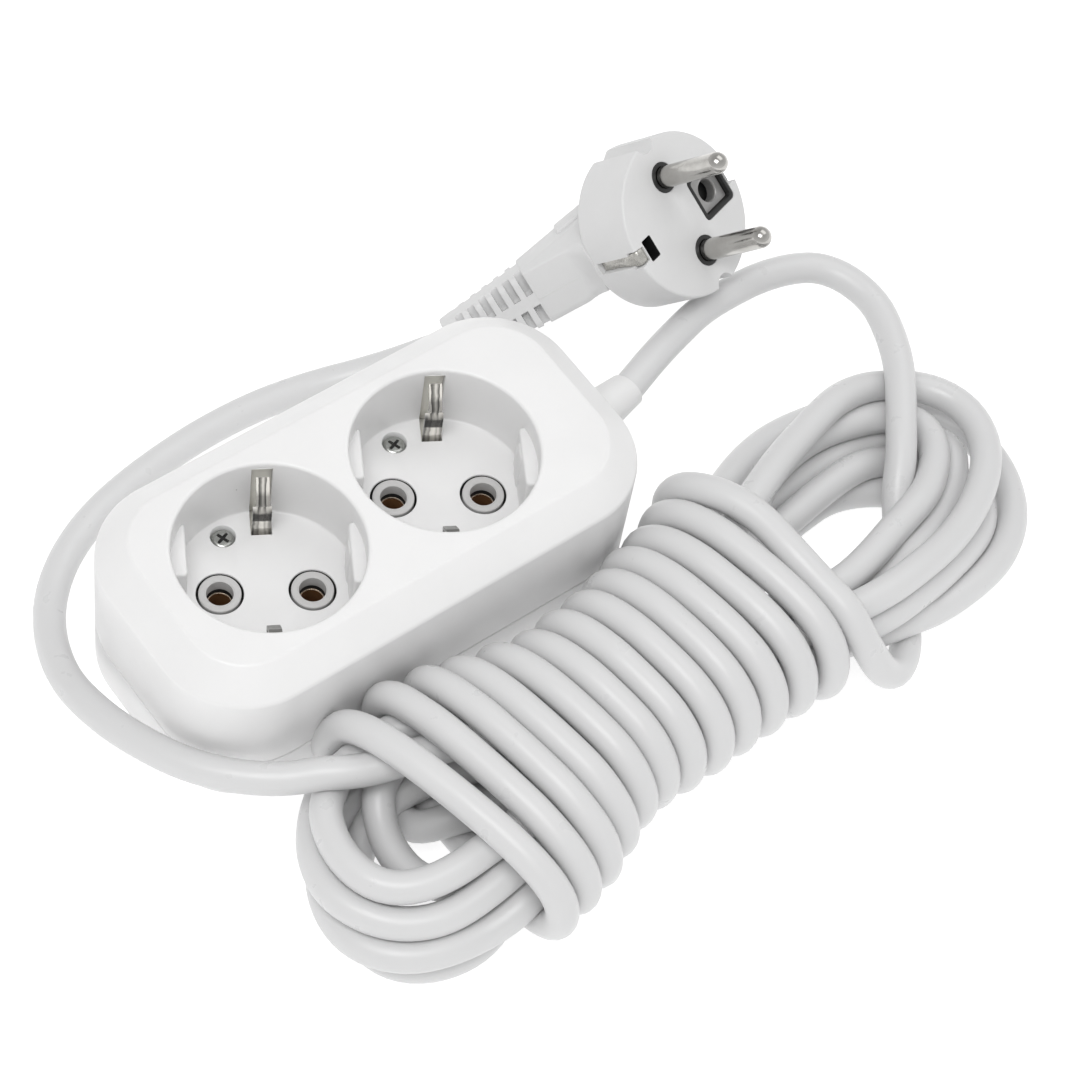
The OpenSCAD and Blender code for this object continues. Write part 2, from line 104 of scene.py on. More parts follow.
RIGHT = {
    "T1": [(78.5, -34.5, 21.5), (88.5, -30, 19), (100, -27.2, 16), (109.5, -25.1, 14.5), (119.3, -24.1, 13.5), (126.4, -26, 13), (131.8, -28.4, 13), (135.8, -33.6, 13.5), (136.7, -39.7, 14), (135.2, -46.5, 14.5), (131.6, -52.2, 15), (124.7, -57.3, 16), (114.4, -63, 17.5), (103.4, -67, 19), (92.7, -69.5, 20), (82.1, -71.4, 21.5)],
    "R0": [(80.8, -23.8, 9), (87.7, -20.4, 7), (97.1, -17.8, 5), (103, -17.9, 4), (108.5, -18.8, 3.5), (115.1, -20, 3.5), (121.6, -22.2, 3.5), (128.3, -25, 3.5), (134.6, -32, 3.5), (139, -41, 3.5), (139, -50, 3.5), (135.3, -58.8, 3.5), (133.1, -63, 3.5), (121.5, -70, 6.6), (112.3, -71.3, 8.5), (102.6, -72.2, 10), (92.9, -72.2, 10.8), (84.1, -71.6, 10.8)],
    "T2": [(83, -31.6, 14), (91.6, -28.2, 12.5), (100, -25.9, 12.5), (105.1, -25.2, 13), (109.2, -25.3, 13.3), (114.4, -27.3, 13), (120.6, -29.5, 12), (125.9, -31.9, 10.5), (128.7, -36, 10.5), (127.6, -41.2, 11.2), (121.5, -47, 13), (111, -51.8, 15.5), (102, -55.5, 17), (93.4, -58.9, 18), (85.6, -62.2, 18.5), (79.4, -64.5, 18.5)],
    "T3": [(85.6, -34.1, 10.5), (89.7, -32.7, 9.5), (97.1, -30.6, 8.5), (104.3, -29.6, 7.5), (112.5, -30.1, 6.3), (119.9, -32.5, 5), (127.1, -36, 4.2), (130.4, -41.9, 4.2), (129, -47.4, 5.5), (121.7, -52, 8), (110.5, -57.1, 11.5), (99.3, -60.8, 13.5), (89.2, -63.6, 15)],
    "R1": [(84.5, -40, 11), (90.3, -38.5, 10), (99.3, -37.2, 9), (107.4, -37.2, 8), (115.1, -37.8, 6.5), (125.6, -39.1, 3.7), (129.8, -44.8, 4), (130.4, -52, 4.5), (128.4, -58.1, 5.5), (123.1, -63, 7), (114.1, -67.4, 9.5), (102.8, -70.2, 12.5), (91.8, -72.1, 14.5), (82.8, -72.3, 16)],
    "N1": [(86.6, -36.6, 5.5), (92.2, -36.4, 4.2), (97.8, -35.3, 3.6), (102.6, -36.2, 3.5), (108, -37.9, 3.5), (113.7, -40.5, 3.5), (118, -44.9, 3.5), (119.9, -49.2, 3.5), (118.1, -53.1, 3.5), (112.8, -56.6, 3.5), (106, -58.7, 3.6), (98.6, -59.8, 4), (91.4, -60.9, 5.2), (84.4, -61.9, 7)],
}
LEFT = {
    "A": [(-23.3, -71.6, 22.5), (-26.4, -72.1, 22), (-33.1, -71.8, 21), (-39.7, -69.8, 20.5), (-43.3, -67.3, 20.5), (-45.1, -62.2, 20), (-45.2, -55.2, 19), (-43.4, -47.9, 17.5), (-40.5, -42.7, 16), (-36, -38.8, 15), (-30.3, -37.4, 15), (-24.9, -37.8, 16), (-20.7, -38.5, 18)],
    "B": [(-20.6, -76.6, 18), (-25.9, -77.3, 16.5), (-33.3, -77.7, 15.5), (-39.6, -76.1, 14.8), (-44.4, -72.9, 14.5), (-47.4, -69.2, 14.3), (-49.6, -64.8, 14), (-50.4, -59.4, 13.5), (-48.7, -53.7, 12.5), (-45.2, -47.9, 11), (-40.3, -42.7, 10), (-35.6, -39.1, 10), (-30.9, -37.9, 11), (-25.4, -37.9, 13), (-19.4, -38.7, 14.5)],
    "C": [(-15, -80.3, 12), (-18.6, -81, 11), (-22.9, -81.7, 10), (-28.8, -82.2, 9.4), (-36.2, -81.1, 9), (-42.3, -79, 8.8), (-46.1, -76, 8.6), (-49, -72.1, 8.4), (-50.1, -67.9, 8.2), (-49.8, -62.9, 7.8), (-47.6, -57, 7), (-43.4, -50.8, 5.5), (-38.5, -45.3, 4), (-33.4, -41.8, 4), (-28.5, -40.7, 6), (-23.2, -41.4, 9)],
    "D": [(-10.3, -79.3, 6), (-15.1, -79.9, 4.2), (-20.6, -81, 3.6), (-29, -82.2, 3.5), (-36.2, -81.3, 3.5), (-43.6, -77.9, 3.5), (-47.7, -73.3, 3.5), (-49.3, -67.9, 3.5), (-48.5, -62.6, 3.5), (-45.9, -57.4, 3.5), (-41.8, -52.6, 3.5), (-36.7, -48.4, 3.5), (-30.7, -44.9, 3.5), (-25.2, -43.8, 6), (-19.5, -43.9, 9)],
    "E": [(-13.6, -73.5, 16), (-19.4, -73.2, 14), (-26.1, -72.4, 13), (-31.4, -70.2, 12.5), (-33.8, -65.7, 12), (-33.8, -60, 11.5), (-32.8, -54.4, 11), (-30.8, -49.5, 10.5), (-28.4, -45.9, 10.5), (-25.6, -43.1, 11), (-21.9, -40.9, 12), (-17.8, -39.6, 13.5), (-13.7, -39.2, 15)],
}
LAST = [(4, -60, 9), (-3, -60.5, 6), (-10, -60, 4), (-17, -58.5, 3.5), (-24, -56.5, 3.5), (-30, -52.5, 3.5), (-33.5, -46, 3.5), (-33.5, -39.5, 3.6), (-32, -34, 4.5), (-31, -30.5, 9)]
LEAD_B = [(42.8, 39.3, 10.9), (37.5, 42.3, 7.4), (31, 45.3, 4.9), (24, 48, 3.8), (15, 50, 3.5), (5.8, 51.1, 3.5), (-7, 51.2, 3.5),
    (-19.7, 49.9, 3.5), (-30, 48, 3.5), (-39.7, 45, 3.5), (-49.5, 39.6, 3.7), (-57.2, 32.3, 4.7), (-61.8, 25, 6.2), (-64.6, 18, 8),
    (-66.2, 10.5, 10), (-65.9, 2, 12.5), (-64.6, -6, 14.5), (-62, -14.2, 16.3), (-58.8, -21.4, 17.6), (-53.4, -28.9, 18.8),
    (-48, -34, 19.6), (-42.2, -37.8, 20.2), (-35, -42, 21), (-28, -45.2, 22), (-17.6, -48, 23.5)]
# far and near slot of each right-hand loop inside the wraps: sideways place and height
SLOTS = {"T1": ((5, 23.5), (-14.8, 23.5)), "R0": ((15.5, 10.5), (-15.5, 10.5)), "T2": ((9.3, 17), (-8.5, 23.5)),
    "T3": ((15.3, 17), (-9, 17)), "R1": ((9.3, 10.5), (-15.5, 17)), "N1": ((3.1, 10.5), (-9.3, 10.5))}
ORDER = ["T1", "T2", "T3", "R1", "R0", "N1"]
JOINS = ["A", "E", "B", "C", "D"]


def half_wrap(p0, p1, top, n=12, b=13.5, zc=17.0, ex=2.5, bow=0.0):
    out = []
    for i in range(n):
        a = math.pi * i / n
        c = math.copysign(abs(math.cos(a)) ** (2 / ex), math.cos(a))
        s = abs(math.sin(a)) ** (2 / ex)
        out.append((p0[0] + (p1[0] - p0[0]) * (1 - c) / 2 + bow * math.sin(a), (p0[1] + p1[1]) / 2 + (p0[1] - p1[1]) / 2 * c, zc + (b if top else -b) * s))
    return out


def run(x0, x1, slot, n=7):
    out = []
    for i in range(n):
        x = x0 + (x1 - x0) * i / (n - 1)
        out.append((x, -50.2 + 0.164 * (max(x, 0) - 65) + slot[0], slot[1]))
    return out


def route():
    pts, hold, give, stiff = [], [], [], []

    def add(p, h, g, k):
        for q in p:
            pts.append(tuple(float(v) for v in q))
            hold.append(h)
            give.append(g)
            stiff.append(k)

    add(LEAD_A, 4.0, 0.3, 0.1)
    add(CROSS, 3.0, 0.4, 0.02)
    add(half_wrap(WRAP_FAR[0], WRAP_NEAR[0], False), 6.0, 0.12, 0.0)
    for k in range(12):
        add(half_wrap(WRAP_NEAR[k], WRAP_FAR[k + 1], True, bow=max(0.0, 1.7 - 0.19 * k)), 6.0, 0.12, 0.0)
        if k < 11:
            add(half_wrap(WRAP_FAR[k + 1], WRAP_NEAR[k + 1], False), 6.0, 0.12, 0.0)
    add(LAST[::-1], 0.8, 1.0, 0.1)
    names = ORDER[::-1]
    for i, name in enumerate(names):
        far, near = SLOTS[name]
        add(run(12, 52, near, 5), 0.05, 1.0, 0.3)
        add(RIGHT[name][::-1], 1.8, 0.6, 0.3)
        add(run(52, 8, far, 5), 0.05, 1.0, 0.3)
        if i < len(names) - 1:
            add(LEFT[JOINS[len(JOINS) - 1 - i]][::-1], 2.0, 0.6, 0.08)
    add(LEAD_B[::-1], 4.0, 0.3, 0.1)
    add([tuple(neck_pt((0, 0, s))) for s in (49, 44, 38)], 4.0, 0.3, 0.1)
    return np.array(pts), np.array(hold), np.array(give), np.array(stiff)


def resample(P, step):
    Q = np.vstack([2 * P[0] - P[1], P, 2 * P[-1] - P[-2]])
    out, src = [], []
    for i in range(1, len(Q) - 2):
        p0, p1, p2, p3 = Q[i - 1], Q[i], Q[i + 1], Q[i + 2]
        a, b, c = (np.linalg.norm(d) ** 0.5 + 1e-6 for d in (p1 - p0, p2 - p1, p3 - p2))
        m1 = (p2 - p1) + b * ((p1 - p0) / a - (p2 - p0) / (a + b))
        m2 = (p2 - p1) + b * ((p3 - p2) / c - (p3 - p1) / (b + c))
        n = max(2, int(np.linalg.norm(p2 - p1) / 0.5))
        for k in range(n):
            t = k / n
            out.append((2 * t**3 - 3 * t * t + 1) * p1 + (t**3 - 2 * t * t + t) * m1 + (3 * t * t - 2 * t**3) * p2 + (t**3 - t * t) * m2)
            src.append(i - 1 + t)
    out.append(Q[-2])
    src.append(len(P) - 1)
    out = np.array(out)
    s = np.concatenate([[0], np.cumsum(np.linalg.norm(np.diff(out, axis=0), axis=1))])
    t = np.linspace(0, s[-1], int(round(s[-1] / step)) + 1)
    return np.stack([np.interp(t, s, out[:, k]) for k in range(3)], 1), np.interp(t, s, np.array(src))


def settle(X, W, G, K, rounds, d=7.03, step=2.5, ends=(6, 6)):
    """Pushes the strands out of each other, keeps them above the floor, and evens out the bends, while they keep near
    the route.
    """
    T = X.copy()
    X = X.copy()
    n = len(X)
    gap = int(math.ceil(3.2 * d / step))
    I = J = None
    for it in range(rounds):
        if it % 8 == 0:
            sq = (X**2).sum(1)
            D2 = sq[:, None] + sq[None, :] - 2 * X @ X.T
            I, J = np.where(D2 < (d + 3.5) ** 2)
            k = (J - I) > gap
            I, J = I[k], J[k]
        for _ in range(3):
            v = X[1:] - X[:-1]
            l = np.linalg.norm(v, axis=1)
            t = v / l[:, None]
            kap = np.zeros(n)
            kap[1:-1] = 2 * np.linalg.norm(t[1:] - t[:-1], axis=1) / (l[1:] + l[:-1])
            kap = np.convolve(kap, [0.25, 0.5, 0.25], "same")
            g = np.clip((kap - 1 / 11.0) / (1 / 6.0 - 1 / 11.0), 0, 1)
            A = np.zeros_like(X)
            A[2:-2] = (-X[:-4] + 4 * X[1:-3] + 4 * X[3:-1] - X[4:]) / 6 - X[2:-2]
            B = np.zeros_like(X)
            B[1:-1] = (X[:-2] + X[2:]) / 2 - X[1:-1]
            X += A * (0.3 * G)[:, None] + B * (g * 0.5 * np.where(G < 0.4, 0.15, 1))[:, None]
        for h in (3, 6):
            A = np.zeros_like(X)
            A[2 * h : -2 * h] = (-X[: -4 * h] + 4 * X[h : -3 * h] + 4 * X[3 * h : -h] - X[4 * h :]) / 6 - X[2 * h : -2 * h]
            X += A * (K if h == 3 else 0.35 * K)[:, None]
        v = X[1:] - X[:-1]
        l = np.linalg.norm(v, axis=1, keepdims=True)
        c = v * (1 - step / np.maximum(l, 1e-6)) * 0.25
        X[:-1] += c * 0.5
        X[1:] -= c * 0.5
        X += (T - X) * (W * 0.06)[:, None]
        for _ in range(2):
            v = X[J] - X[I]
            l = np.linalg.norm(v, axis=1)
            k = l < d
            i, j, vv, ll = I[k], J[k], v[k], np.maximum(l[k], 1e-3)
            wi, wj = G[i], G[j]
            c = (vv / ll[:, None]) * ((d - ll) * 0.35)[:, None]
            A = np.zeros_like(X)
            N = np.zeros(n)
            np.add.at(A, i, -c * (2 * wi / (wi + wj))[:, None])
            np.add.at(A, j, c * (2 * wj / (wi + wj))[:, None])
            np.add.at(N, i, 1)
            np.add.at(N, j, 1)
            X += A / np.maximum(N, 1)[:, None] * 1.6
        X[:, 2] = np.maximum(X[:, 2], d / 2 - 0.02)
        X[: ends[0]] = T[: ends[0]]
        X[-ends[1] :] = T[-ends[1] :]
    return X


R0, HOLD, GIVE, STIFF = route()
X0, SRC = resample(R0, 2.5)
IDX = np.clip(np.round(SRC).astype(int), 0, len(R0) - 1)
PATH = settle(X0, HOLD[IDX], GIVE[IDX], STIFF[IDX], 320)
PATH, _ = resample(PATH, 2.0)
for _ in range(2):
    PATH[1:-1] = (PATH[:-2] + 2 * PATH[1:-1] + PATH[2:]) / 4
CORD_LEN = float(np.linalg.norm(np.diff(PATH, axis=0), axis=1).sum())


# ------------------------------------------------------------------ mesh helpers
def make(name, V, F, mat, body="block", smooth=True, sharp=38, merge=0.0015):
    me = bpy.data.meshes.new(name)
    me.from_pydata([tuple(float(c) * MM for c in v) for v in V], [], [tuple(f) for f in F])
    bm = bmesh.new()
    bm.from_mesh(me)
    if merge:
        bmesh.ops.remove_doubles(bm, verts=bm.verts, dist=merge * MM)
    bmesh.ops.recalc_face_normals(bm, faces=bm.faces)
    bm.to_mesh(me)
    bm.free()
    for p in me.polygons:
        p.use_smooth = smooth
    if smooth and sharp:
        me.set_sharp_from_angle(angle=rad(sharp))
    me.materials.append(mat)
    ob = bpy.data.objects.new(name, me)
    SC.collection.objects.link(ob)
    if body:
        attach(ob, body)
    return ob


class Geo:
    def __init__(self):
        self.V, self.F = [], []

    def add(self, V, F):
        o = len(self.V)
        self.V += [tuple(v) for v in V]
        self.F += [tuple(o + i for i in f) for f in F]

    def loft(self, loops, closed=True, skip=None):
        n = len(loops[0])
        V = [p for l in loops for p in l]
        F = []
        for i in range(len(loops) - 1):
            for k in range(n if closed else n - 1):
                if skip and skip(i, k):
                    continue
                k2 = (k + 1) % n
                F.append((i * n + k, i * n + k2, (i + 1) * n + k2, (i + 1) * n + k))
        self.add(V, F)

    def cap(self, loop):
        c = tuple(sum(p[i] for p in loop) / len(loop) for i in range(3))
        n = len(loop)
        self.add(list(loop) + [c], [(k, (k + 1) % n, n) for k in range(n)])

    def quad(self, a, b, c, d):
        self.add([a, b, c, d], [(0, 1, 2, 3)])

    def plate(self, outer, holes, put):
        """flat region inside the 2-D loop outer and outside the 2-D holes; put turns (x, y) into a point"""
        vs, es = [], []
        for lp in [outer] + holes:
            o = len(vs)
            vs += [Vector(p) for p in lp]
            es += [(o + k, o + (k + 1) % len(lp)) for k in range(len(lp))]
        r = delaunay_2d_cdt(vs, es, [], 0, 1e-5)
        F = []
        for f in r[2]:
            c = sum((Vector(r[0][i]) for i in f), Vector((0, 0))) / len(f)
            if inside(c, outer) and not any(inside(c, h) for h in holes):
                F.append(tuple(f))
        self.add([put(v[0], v[1]) for v in r[0]], F)


def inside(p, poly):
    x, y = p[0], p[1]
    r = False
    n = len(poly)
    for i in range(n):
        x0, y0 = poly[i]
        x1, y1 = poly[(i + 1) % n]
        if (y0 > y) != (y1 > y) and x < (x1 - x0) * (y - y0) / (y1 - y0) + x0:
            r = not r
    return r


def rrect(hx, hy, r, n=12, cx=0.0, cy=0.0):
    out = []
    for k, (sx, sy) in enumerate(((1, 1), (-1, 1), (-1, -1), (1, -1))):
        for i in range(n + 1):
            a = rad(90 * k + 90 * i / n)
            out.append((cx + sx * (hx - r) + r * math.cos(a), cy + sy * (hy - r) + r * math.sin(a)))
    return out


def circle(cx, cy, r, n=64, a0=0.0):
    return [(cx + r * math.cos(a0 + 2 * math.pi * k / n), cy + r * math.sin(a0 + 2 * math.pi * k / n)) for k in range(n)]


def fillet(pts, radii, n=5):
    out = [pts[0]]
    for i in range(1, len(pts) - 1):
        p, a, b, r = Vector(pts[i]), Vector(pts[i - 1]), Vector(pts[i + 1]), radii[i]
        if r <= 0:
            out.append(tuple(p))
            continue
        u, v = (a - p).normalized(), (b - p).normalized()
        half = math.acos(max(-1, min(1, u.dot(v)))) / 2
        t = min(r / math.tan(half), (a - p).length * 0.49, (b - p).length * 0.49)
        r = t * math.tan(half)
        c = p + (u + v).normalized() * (r / math.sin(half))
        s, e = p + u * t, p + v * t
        a0 = math.atan2(s.y - c.y, s.x - c.x)
        a1 = math.atan2(e.y - c.y, e.x - c.x)
        while a1 - a0 > math.pi:
            a1 -= 2 * math.pi
        while a1 - a0 < -math.pi:
            a1 += 2 * math.pi
        for k in range(n + 1):
            a_ = a0 + (a1 - a0) * k / n
            out.append((c.x + r * math.cos(a_), c.y + r * math.sin(a_)))
    out.append(pts[-1])
    return out


def revolve(profile, n, put):
    """profile is (r, z) pairs; put turns (x, y, z) into a point"""
    g = Geo()
    g.loft([[put(r * math.cos(2 * math.pi * k / n), r * math.sin(2 * math.pi * k / n), z) for k in range(n)] for r, z in profile])
    return g


# ------------------------------------------------------------------ materials
def nodes_of(name):
    m = bpy.data.materials.new(name)
    m.use_nodes = True
    nt = m.node_tree
    for n in list(nt.nodes):
        nt.nodes.remove(n)
    out = nt.nodes.new("ShaderNodeOutputMaterial")
    b = nt.nodes.new("ShaderNodeBsdfPrincipled")
    nt.links.new(b.outputs[0], out.inputs[0])
    return m, nt, b


def coords(nt, scale):
    tc = nt.nodes.new("ShaderNodeTexCoord")
    mp = nt.nodes.new("ShaderNodeMapping")
    mp.inputs["Scale"].default_value = scale if isinstance(scale, tuple) else (scale,) * 3
    nt.links.new(tc.outputs["Object"], mp.inputs[0])
    return mp.outputs[0]


def noise(nt, vec, scale, detail=4.0, rough=0.55):
    n = nt.nodes.new("ShaderNodeTexNoise")
    n.inputs["Scale"].default_value = scale
    n.inputs["Detail"].default_value = detail
    n.inputs["Roughness"].default_value = rough
    nt.links.new(vec, n.inputs["Vector"])
    return n.outputs["Fac"]


def ramp(nt, fac, a, b, lo, hi):
    r = nt.nodes.new("ShaderNodeMapRange")
    r.inputs["From Min"].default_value = lo
    r.inputs["From Max"].default_value = hi
    r.inputs["To Min"].default_value = a
    r.inputs["To Max"].default_value = b
    nt.links.new(fac, r.inputs["Value"])
    return r.outputs[0]


def mix(nt, fac, a, b):
    m = nt.nodes.new("ShaderNodeMix")
    m.data_type = "RGBA"
    for v, s in ((a, m.inputs[6]), (b, m.inputs[7])):
        if isinstance(v, tuple):
            s.default_value = (*v, 1)
        else:
            nt.links.new(v, s)
    nt.links.new(fac, m.inputs[0])
    return m.outputs[2]


def bump(nt, h, strength, dist, chain=None):
    b = nt.nodes.new("ShaderNodeBump")
    b.inputs["Strength"].default_value = strength
    b.inputs["Distance"].default_value = dist
    nt.links.new(h, b.inputs["Height"])
    if chain is not None:
        nt.links.new(chain, b.inputs["Normal"])
    return b.outputs[0]


def specks(nt, vec, scale, size):
    """sparse round marks: 1 inside a mark, 0 outside"""
    v = nt.nodes.new("ShaderNodeTexVoronoi")
    v.feature = "F1"
    v.inputs["Scale"].default_value = scale
    nt.links.new(vec, v.inputs["Vector"])
    d = ramp(nt, v.outputs["Distance"], 1.0, 0.0, size * 0.55, size)
    pick = nt.nodes.new("ShaderNodeSeparateColor")
    nt.links.new(v.outputs["Color"], pick.inputs[0])
    keep = ramp(nt, pick.outputs[0], 0.0, 1.0, 0.90, 0.93)
    m = nt.nodes.new("ShaderNodeMath")
    m.operation = "MULTIPLY"
    m.use_clamp = True
    nt.links.new(d, m.inputs[0])
    nt.links.new(keep, m.inputs[1])
    return m.outputs[0]


def plastic(name, col, dark, rough, grain=2600.0, grain_d=0.00002, wave_d=0.00008, speck=None, speck_col=(0.12, 0.11, 0.10), sheen=0.0, sss=0.0):
    m, nt, b = nodes_of(name)
    v = coords(nt, 1.0)
    big = noise(nt, v, 38.0, 5.0)
    c = mix(nt, ramp(nt, big, 0.0, 1.0, 0.35, 0.72), col, dark)
    fine = noise(nt, v, 900.0, 3.0)
    c = mix(nt, ramp(nt, fine, 0.0, 0.08, 0.5, 0.8), c, tuple(x * 0.93 for x in dark))
    if speck:
        c = mix(nt, specks(nt, v, speck[0], speck[1]), c, speck_col)
    nt.links.new(c, b.inputs["Base Color"])
    r = ramp(nt, noise(nt, v, 160.0, 4.0), rough - 0.06, rough + 0.10, 0.3, 0.7)
    nt.links.new(r, b.inputs["Roughness"])
    n1 = bump(nt, noise(nt, v, grain, 2.0), 0.35, grain_d)
    n2 = bump(nt, noise(nt, v, 120.0, 2.0), 0.5, wave_d, n1)
    nt.links.new(n2, b.inputs["Normal"])
    b.inputs["IOR"].default_value = 1.48
    if sheen:
        b.inputs["Sheen Weight"].default_value = sheen
        b.inputs["Sheen Roughness"].default_value = 0.5
    if sss:
        b.inputs["Subsurface Weight"].default_value = sss
        b.inputs["Subsurface Radius"].default_value = (1.0, 0.95, 0.9)
        b.inputs["Subsurface Scale"].default_value = 0.0012
    return m


def metal(name, col, dark, rough, stretch=(1, 1, 1), scratch=0.00001, fine=1500.0, metallic=1.0):
    m, nt, b = nodes_of(name)
    v = coords(nt, stretch)
    f = noise(nt, v, fine, 5.0, 0.65)
    c = mix(nt, ramp(nt, noise(nt, v, 120.0, 4.0), 0.0, 1.0, 0.35, 0.7), col, dark)
    nt.links.new(c, b.inputs["Base Color"])
    b.inputs["Metallic"].default_value = metallic
    nt.links.new(ramp(nt, f, rough - 0.05, rough + 0.12, 0.3, 0.7), b.inputs["Roughness"])
    nt.links.new(bump(nt, f, 0.4, scratch), b.inputs["Normal"])
    return m


M_COVER = plastic("cover_white", (0.80, 0.798, 0.797), (0.765, 0.763, 0.762), 0.34, speck=(150.0, 0.03))
M_BASE = plastic("base_white", (0.80, 0.798, 0.797), (0.765, 0.763, 0.762), 0.38, speck=(150.0, 0.03))
M_CARRIER = plastic("carrier_grey", (0.56, 0.555, 0.55), (0.50, 0.495, 0.49), 0.45, grain=3000, speck=None)
M_SHEATH = plastic("sheath_white", (0.653, 0.653, 0.655), (0.644, 0.644, 0.646), 0.32, grain=1800, grain_d=0.000015, wave_d=0.00006, speck=(84.0, 0.02))
M_BOOT = plastic("boot_white", (0.76, 0.758, 0.756), (0.72, 0.718, 0.716), 0.42)
M_PLUG = plastic("plug_white", (0.68, 0.68, 0.68), (0.64, 0.64, 0.64), 0.5, grain=2100, grain_d=0.00004, speck=(150.0, 0.045))
# black of the plug bridge; also used as painted shade in gaps, throats, screw recesses and groove mouths
M_BLACK = plastic("bridge_black", (0.010, 0.010, 0.010), (0.018, 0.018, 0.018), 0.4, grain=2500)
M_BROWN = plastic("core_brown", (0.16, 0.06, 0.03), (0.12, 0.045, 0.02), 0.4)
M_BLUE = plastic("core_blue", (0.03, 0.10, 0.42), (0.02, 0.08, 0.35), 0.4)
M_NICKEL = metal("earth_nickel", (0.78, 0.77, 0.73), (0.72, 0.71, 0.67), 0.24, scratch=0.000001, fine=5000.0)
# plug earth side strips: the nickel darkened to paint dark reflections
M_SIDE_PAINTED_DARK = metal("earth_side_painted_dark_reflection", (0.56, 0.55, 0.52), (0.52, 0.51, 0.48), 0.26, scratch=0.0, fine=2000.0)
M_HEAD = metal("screw_head_zinc", (0.52, 0.53, 0.51), (0.44, 0.45, 0.43), 0.2, scratch=0.000002, fine=4000.0)
M_BRASS = metal("contact_brass", (0.31, 0.155, 0.07), (0.22, 0.11, 0.05), 0.35, metallic=0.35)
# brighter copy of the contact metal for the contact's top edge: painted glint
M_CONTACT_RIM_GLINT = metal("contact_rim", (0.90, 0.76, 0.62), (0.84, 0.68, 0.52), 0.25, fine=5000.0)
M_STRIP = metal("earth_strip_satin", (0.88, 0.865, 0.80), (0.85, 0.835, 0.77), 0.45, metallic=0.1)
# darker copy of the clip nickel for the near earth clips: painted shade, not a different metal
M_NEAR_CLIP_SHADE = metal("near_clip_painted_shade", (0.26, 0.26, 0.25), (0.18, 0.18, 0.17), 0.3)
# earth plate: base colour darkened to paint the dark reflections the metal shows
M_PLATE_PAINTED_DARK = metal("earth_plate", (0.42, 0.415, 0.41), (0.34, 0.335, 0.33), 0.35, metallic=0.6, fine=4000.0)
M_PIN = metal("pin_nickel", (0.55, 0.54, 0.52), (0.40, 0.39, 0.37), 0.14, stretch=(1, 1, 1), scratch=0.000006)
M_ZINC = metal("screw_zinc", (0.80, 0.82, 0.78), (0.72, 0.74, 0.70), 0.2, scratch=0.000002, fine=4000.0)


def clip_painted_glints(name, c):
    """pressed spring whose colour holds painted highlights along its edges and painted dark reflections across it. p
    runs across the spring, z along it
    """
    m, nt, b = nodes_of(name)
    v = coords(nt, 1.0)

    def math_(op, x, y=None, clamp=False):
        n = nt.nodes.new("ShaderNodeMath")
        n.operation = op
        n.use_clamp = clamp
        for s, q in ((n.inputs[0], x), (n.inputs[1], y)):
            if q is None:
                continue
            if isinstance(q, float):
                s.default_value = q
            else:
                nt.links.new(q, s)
        return n.outputs[0]

    def curve(fac, stops):
        r = nt.nodes.new("ShaderNodeValToRGB")
        el = r.color_ramp.elements
        while len(el) > 1:
            el.remove(el[-1])
        el[0].position = stops[0][0]
        el[0].color = (*(stops[0][1],) * 3, 1)
        for x, y in stops[1:]:
            e = el.new(x)
            e.color = (y, y * 0.985, y * 0.95, 1)
        nt.links.new(fac, r.inputs[0])
        return r.outputs[0]

    dp = nt.nodes.new("ShaderNodeVectorMath")
    dp.operation = "DOT_PRODUCT"
    dp.inputs[1].default_value = (CA, SA, 0.0)
    nt.links.new(v, dp.inputs[0])
    warp = ramp(nt, noise(nt, v, 260.0, 2.0), -0.00022, 0.00022, 0.3, 0.7)
    p = math_("ADD", math_("SUBTRACT", dp.outputs["Value"], c * CA * MM), warp)
    sep = nt.nodes.new("ShaderNodeSeparateXYZ")
    nt.links.new(v, sep.inputs[0])
    z = math_("ADD", sep.outputs[2], warp)
    pn = ramp(nt, p, 0.0, 1.0, -0.00195, 0.00195)
    zn = ramp(nt, z, 0.0, 1.0, 0.0215, 0.0395)
    # along the spring: foot, lower limb, fold, tongue, tip; the bright and dark values are painted highlights and
    # painted reflections
    mid = curve(zn, [(0.0, 0.2), (0.06, 0.85), (0.22, 1.0), (0.33, 0.95), (0.38, 1.0), (0.41, 0.10), (0.53, 0.08), (0.58, 0.6), (0.62, 0.9), (0.70, 0.75), (0.75, 0.4), (0.84, 0.45), (0.89, 0.95), (1.0, 1.0)])
    low = curve(pn, [(0.0, 0.25), (0.08, 0.2), (0.18, 0.6), (0.34, 0.35), (0.40, 0.85), (0.58, 1.0), (0.70, 0.55), (0.80, 0.9), (0.92, 0.4), (1.0, 0.3)])
    up = curve(pn, [(0.0, 0.9), (0.25, 1.0), (0.30, 0.12), (0.42, 0.35), (0.52, 0.9), (0.60, 0.5), (0.68, 0.10), (0.73, 1.0), (1.0, 0.9)])
    split = ramp(nt, z, 0.0, 1.0, 0.0316, 0.0326)
    across = mix(nt, split, low, up)
    mm = nt.nodes.new("ShaderNodeMix")
    mm.data_type = "RGBA"
    mm.blend_type = "MULTIPLY"
    mm.inputs[0].default_value = 1.0
    nt.links.new(mid, mm.inputs[6])
    nt.links.new(across, mm.inputs[7])
    b.inputs["Metallic"].default_value = 0.55
    nt.links.new(mm.outputs[2], b.inputs["Base Color"])
    f = noise(nt, v, 1500.0, 4.0, 0.6)
    nt.links.new(ramp(nt, f, 0.12, 0.22, 0.3, 0.7), b.inputs["Roughness"])
    nt.links.new(bump(nt, f, 0.3, 0.000003), b.inputs["Normal"])
    return m


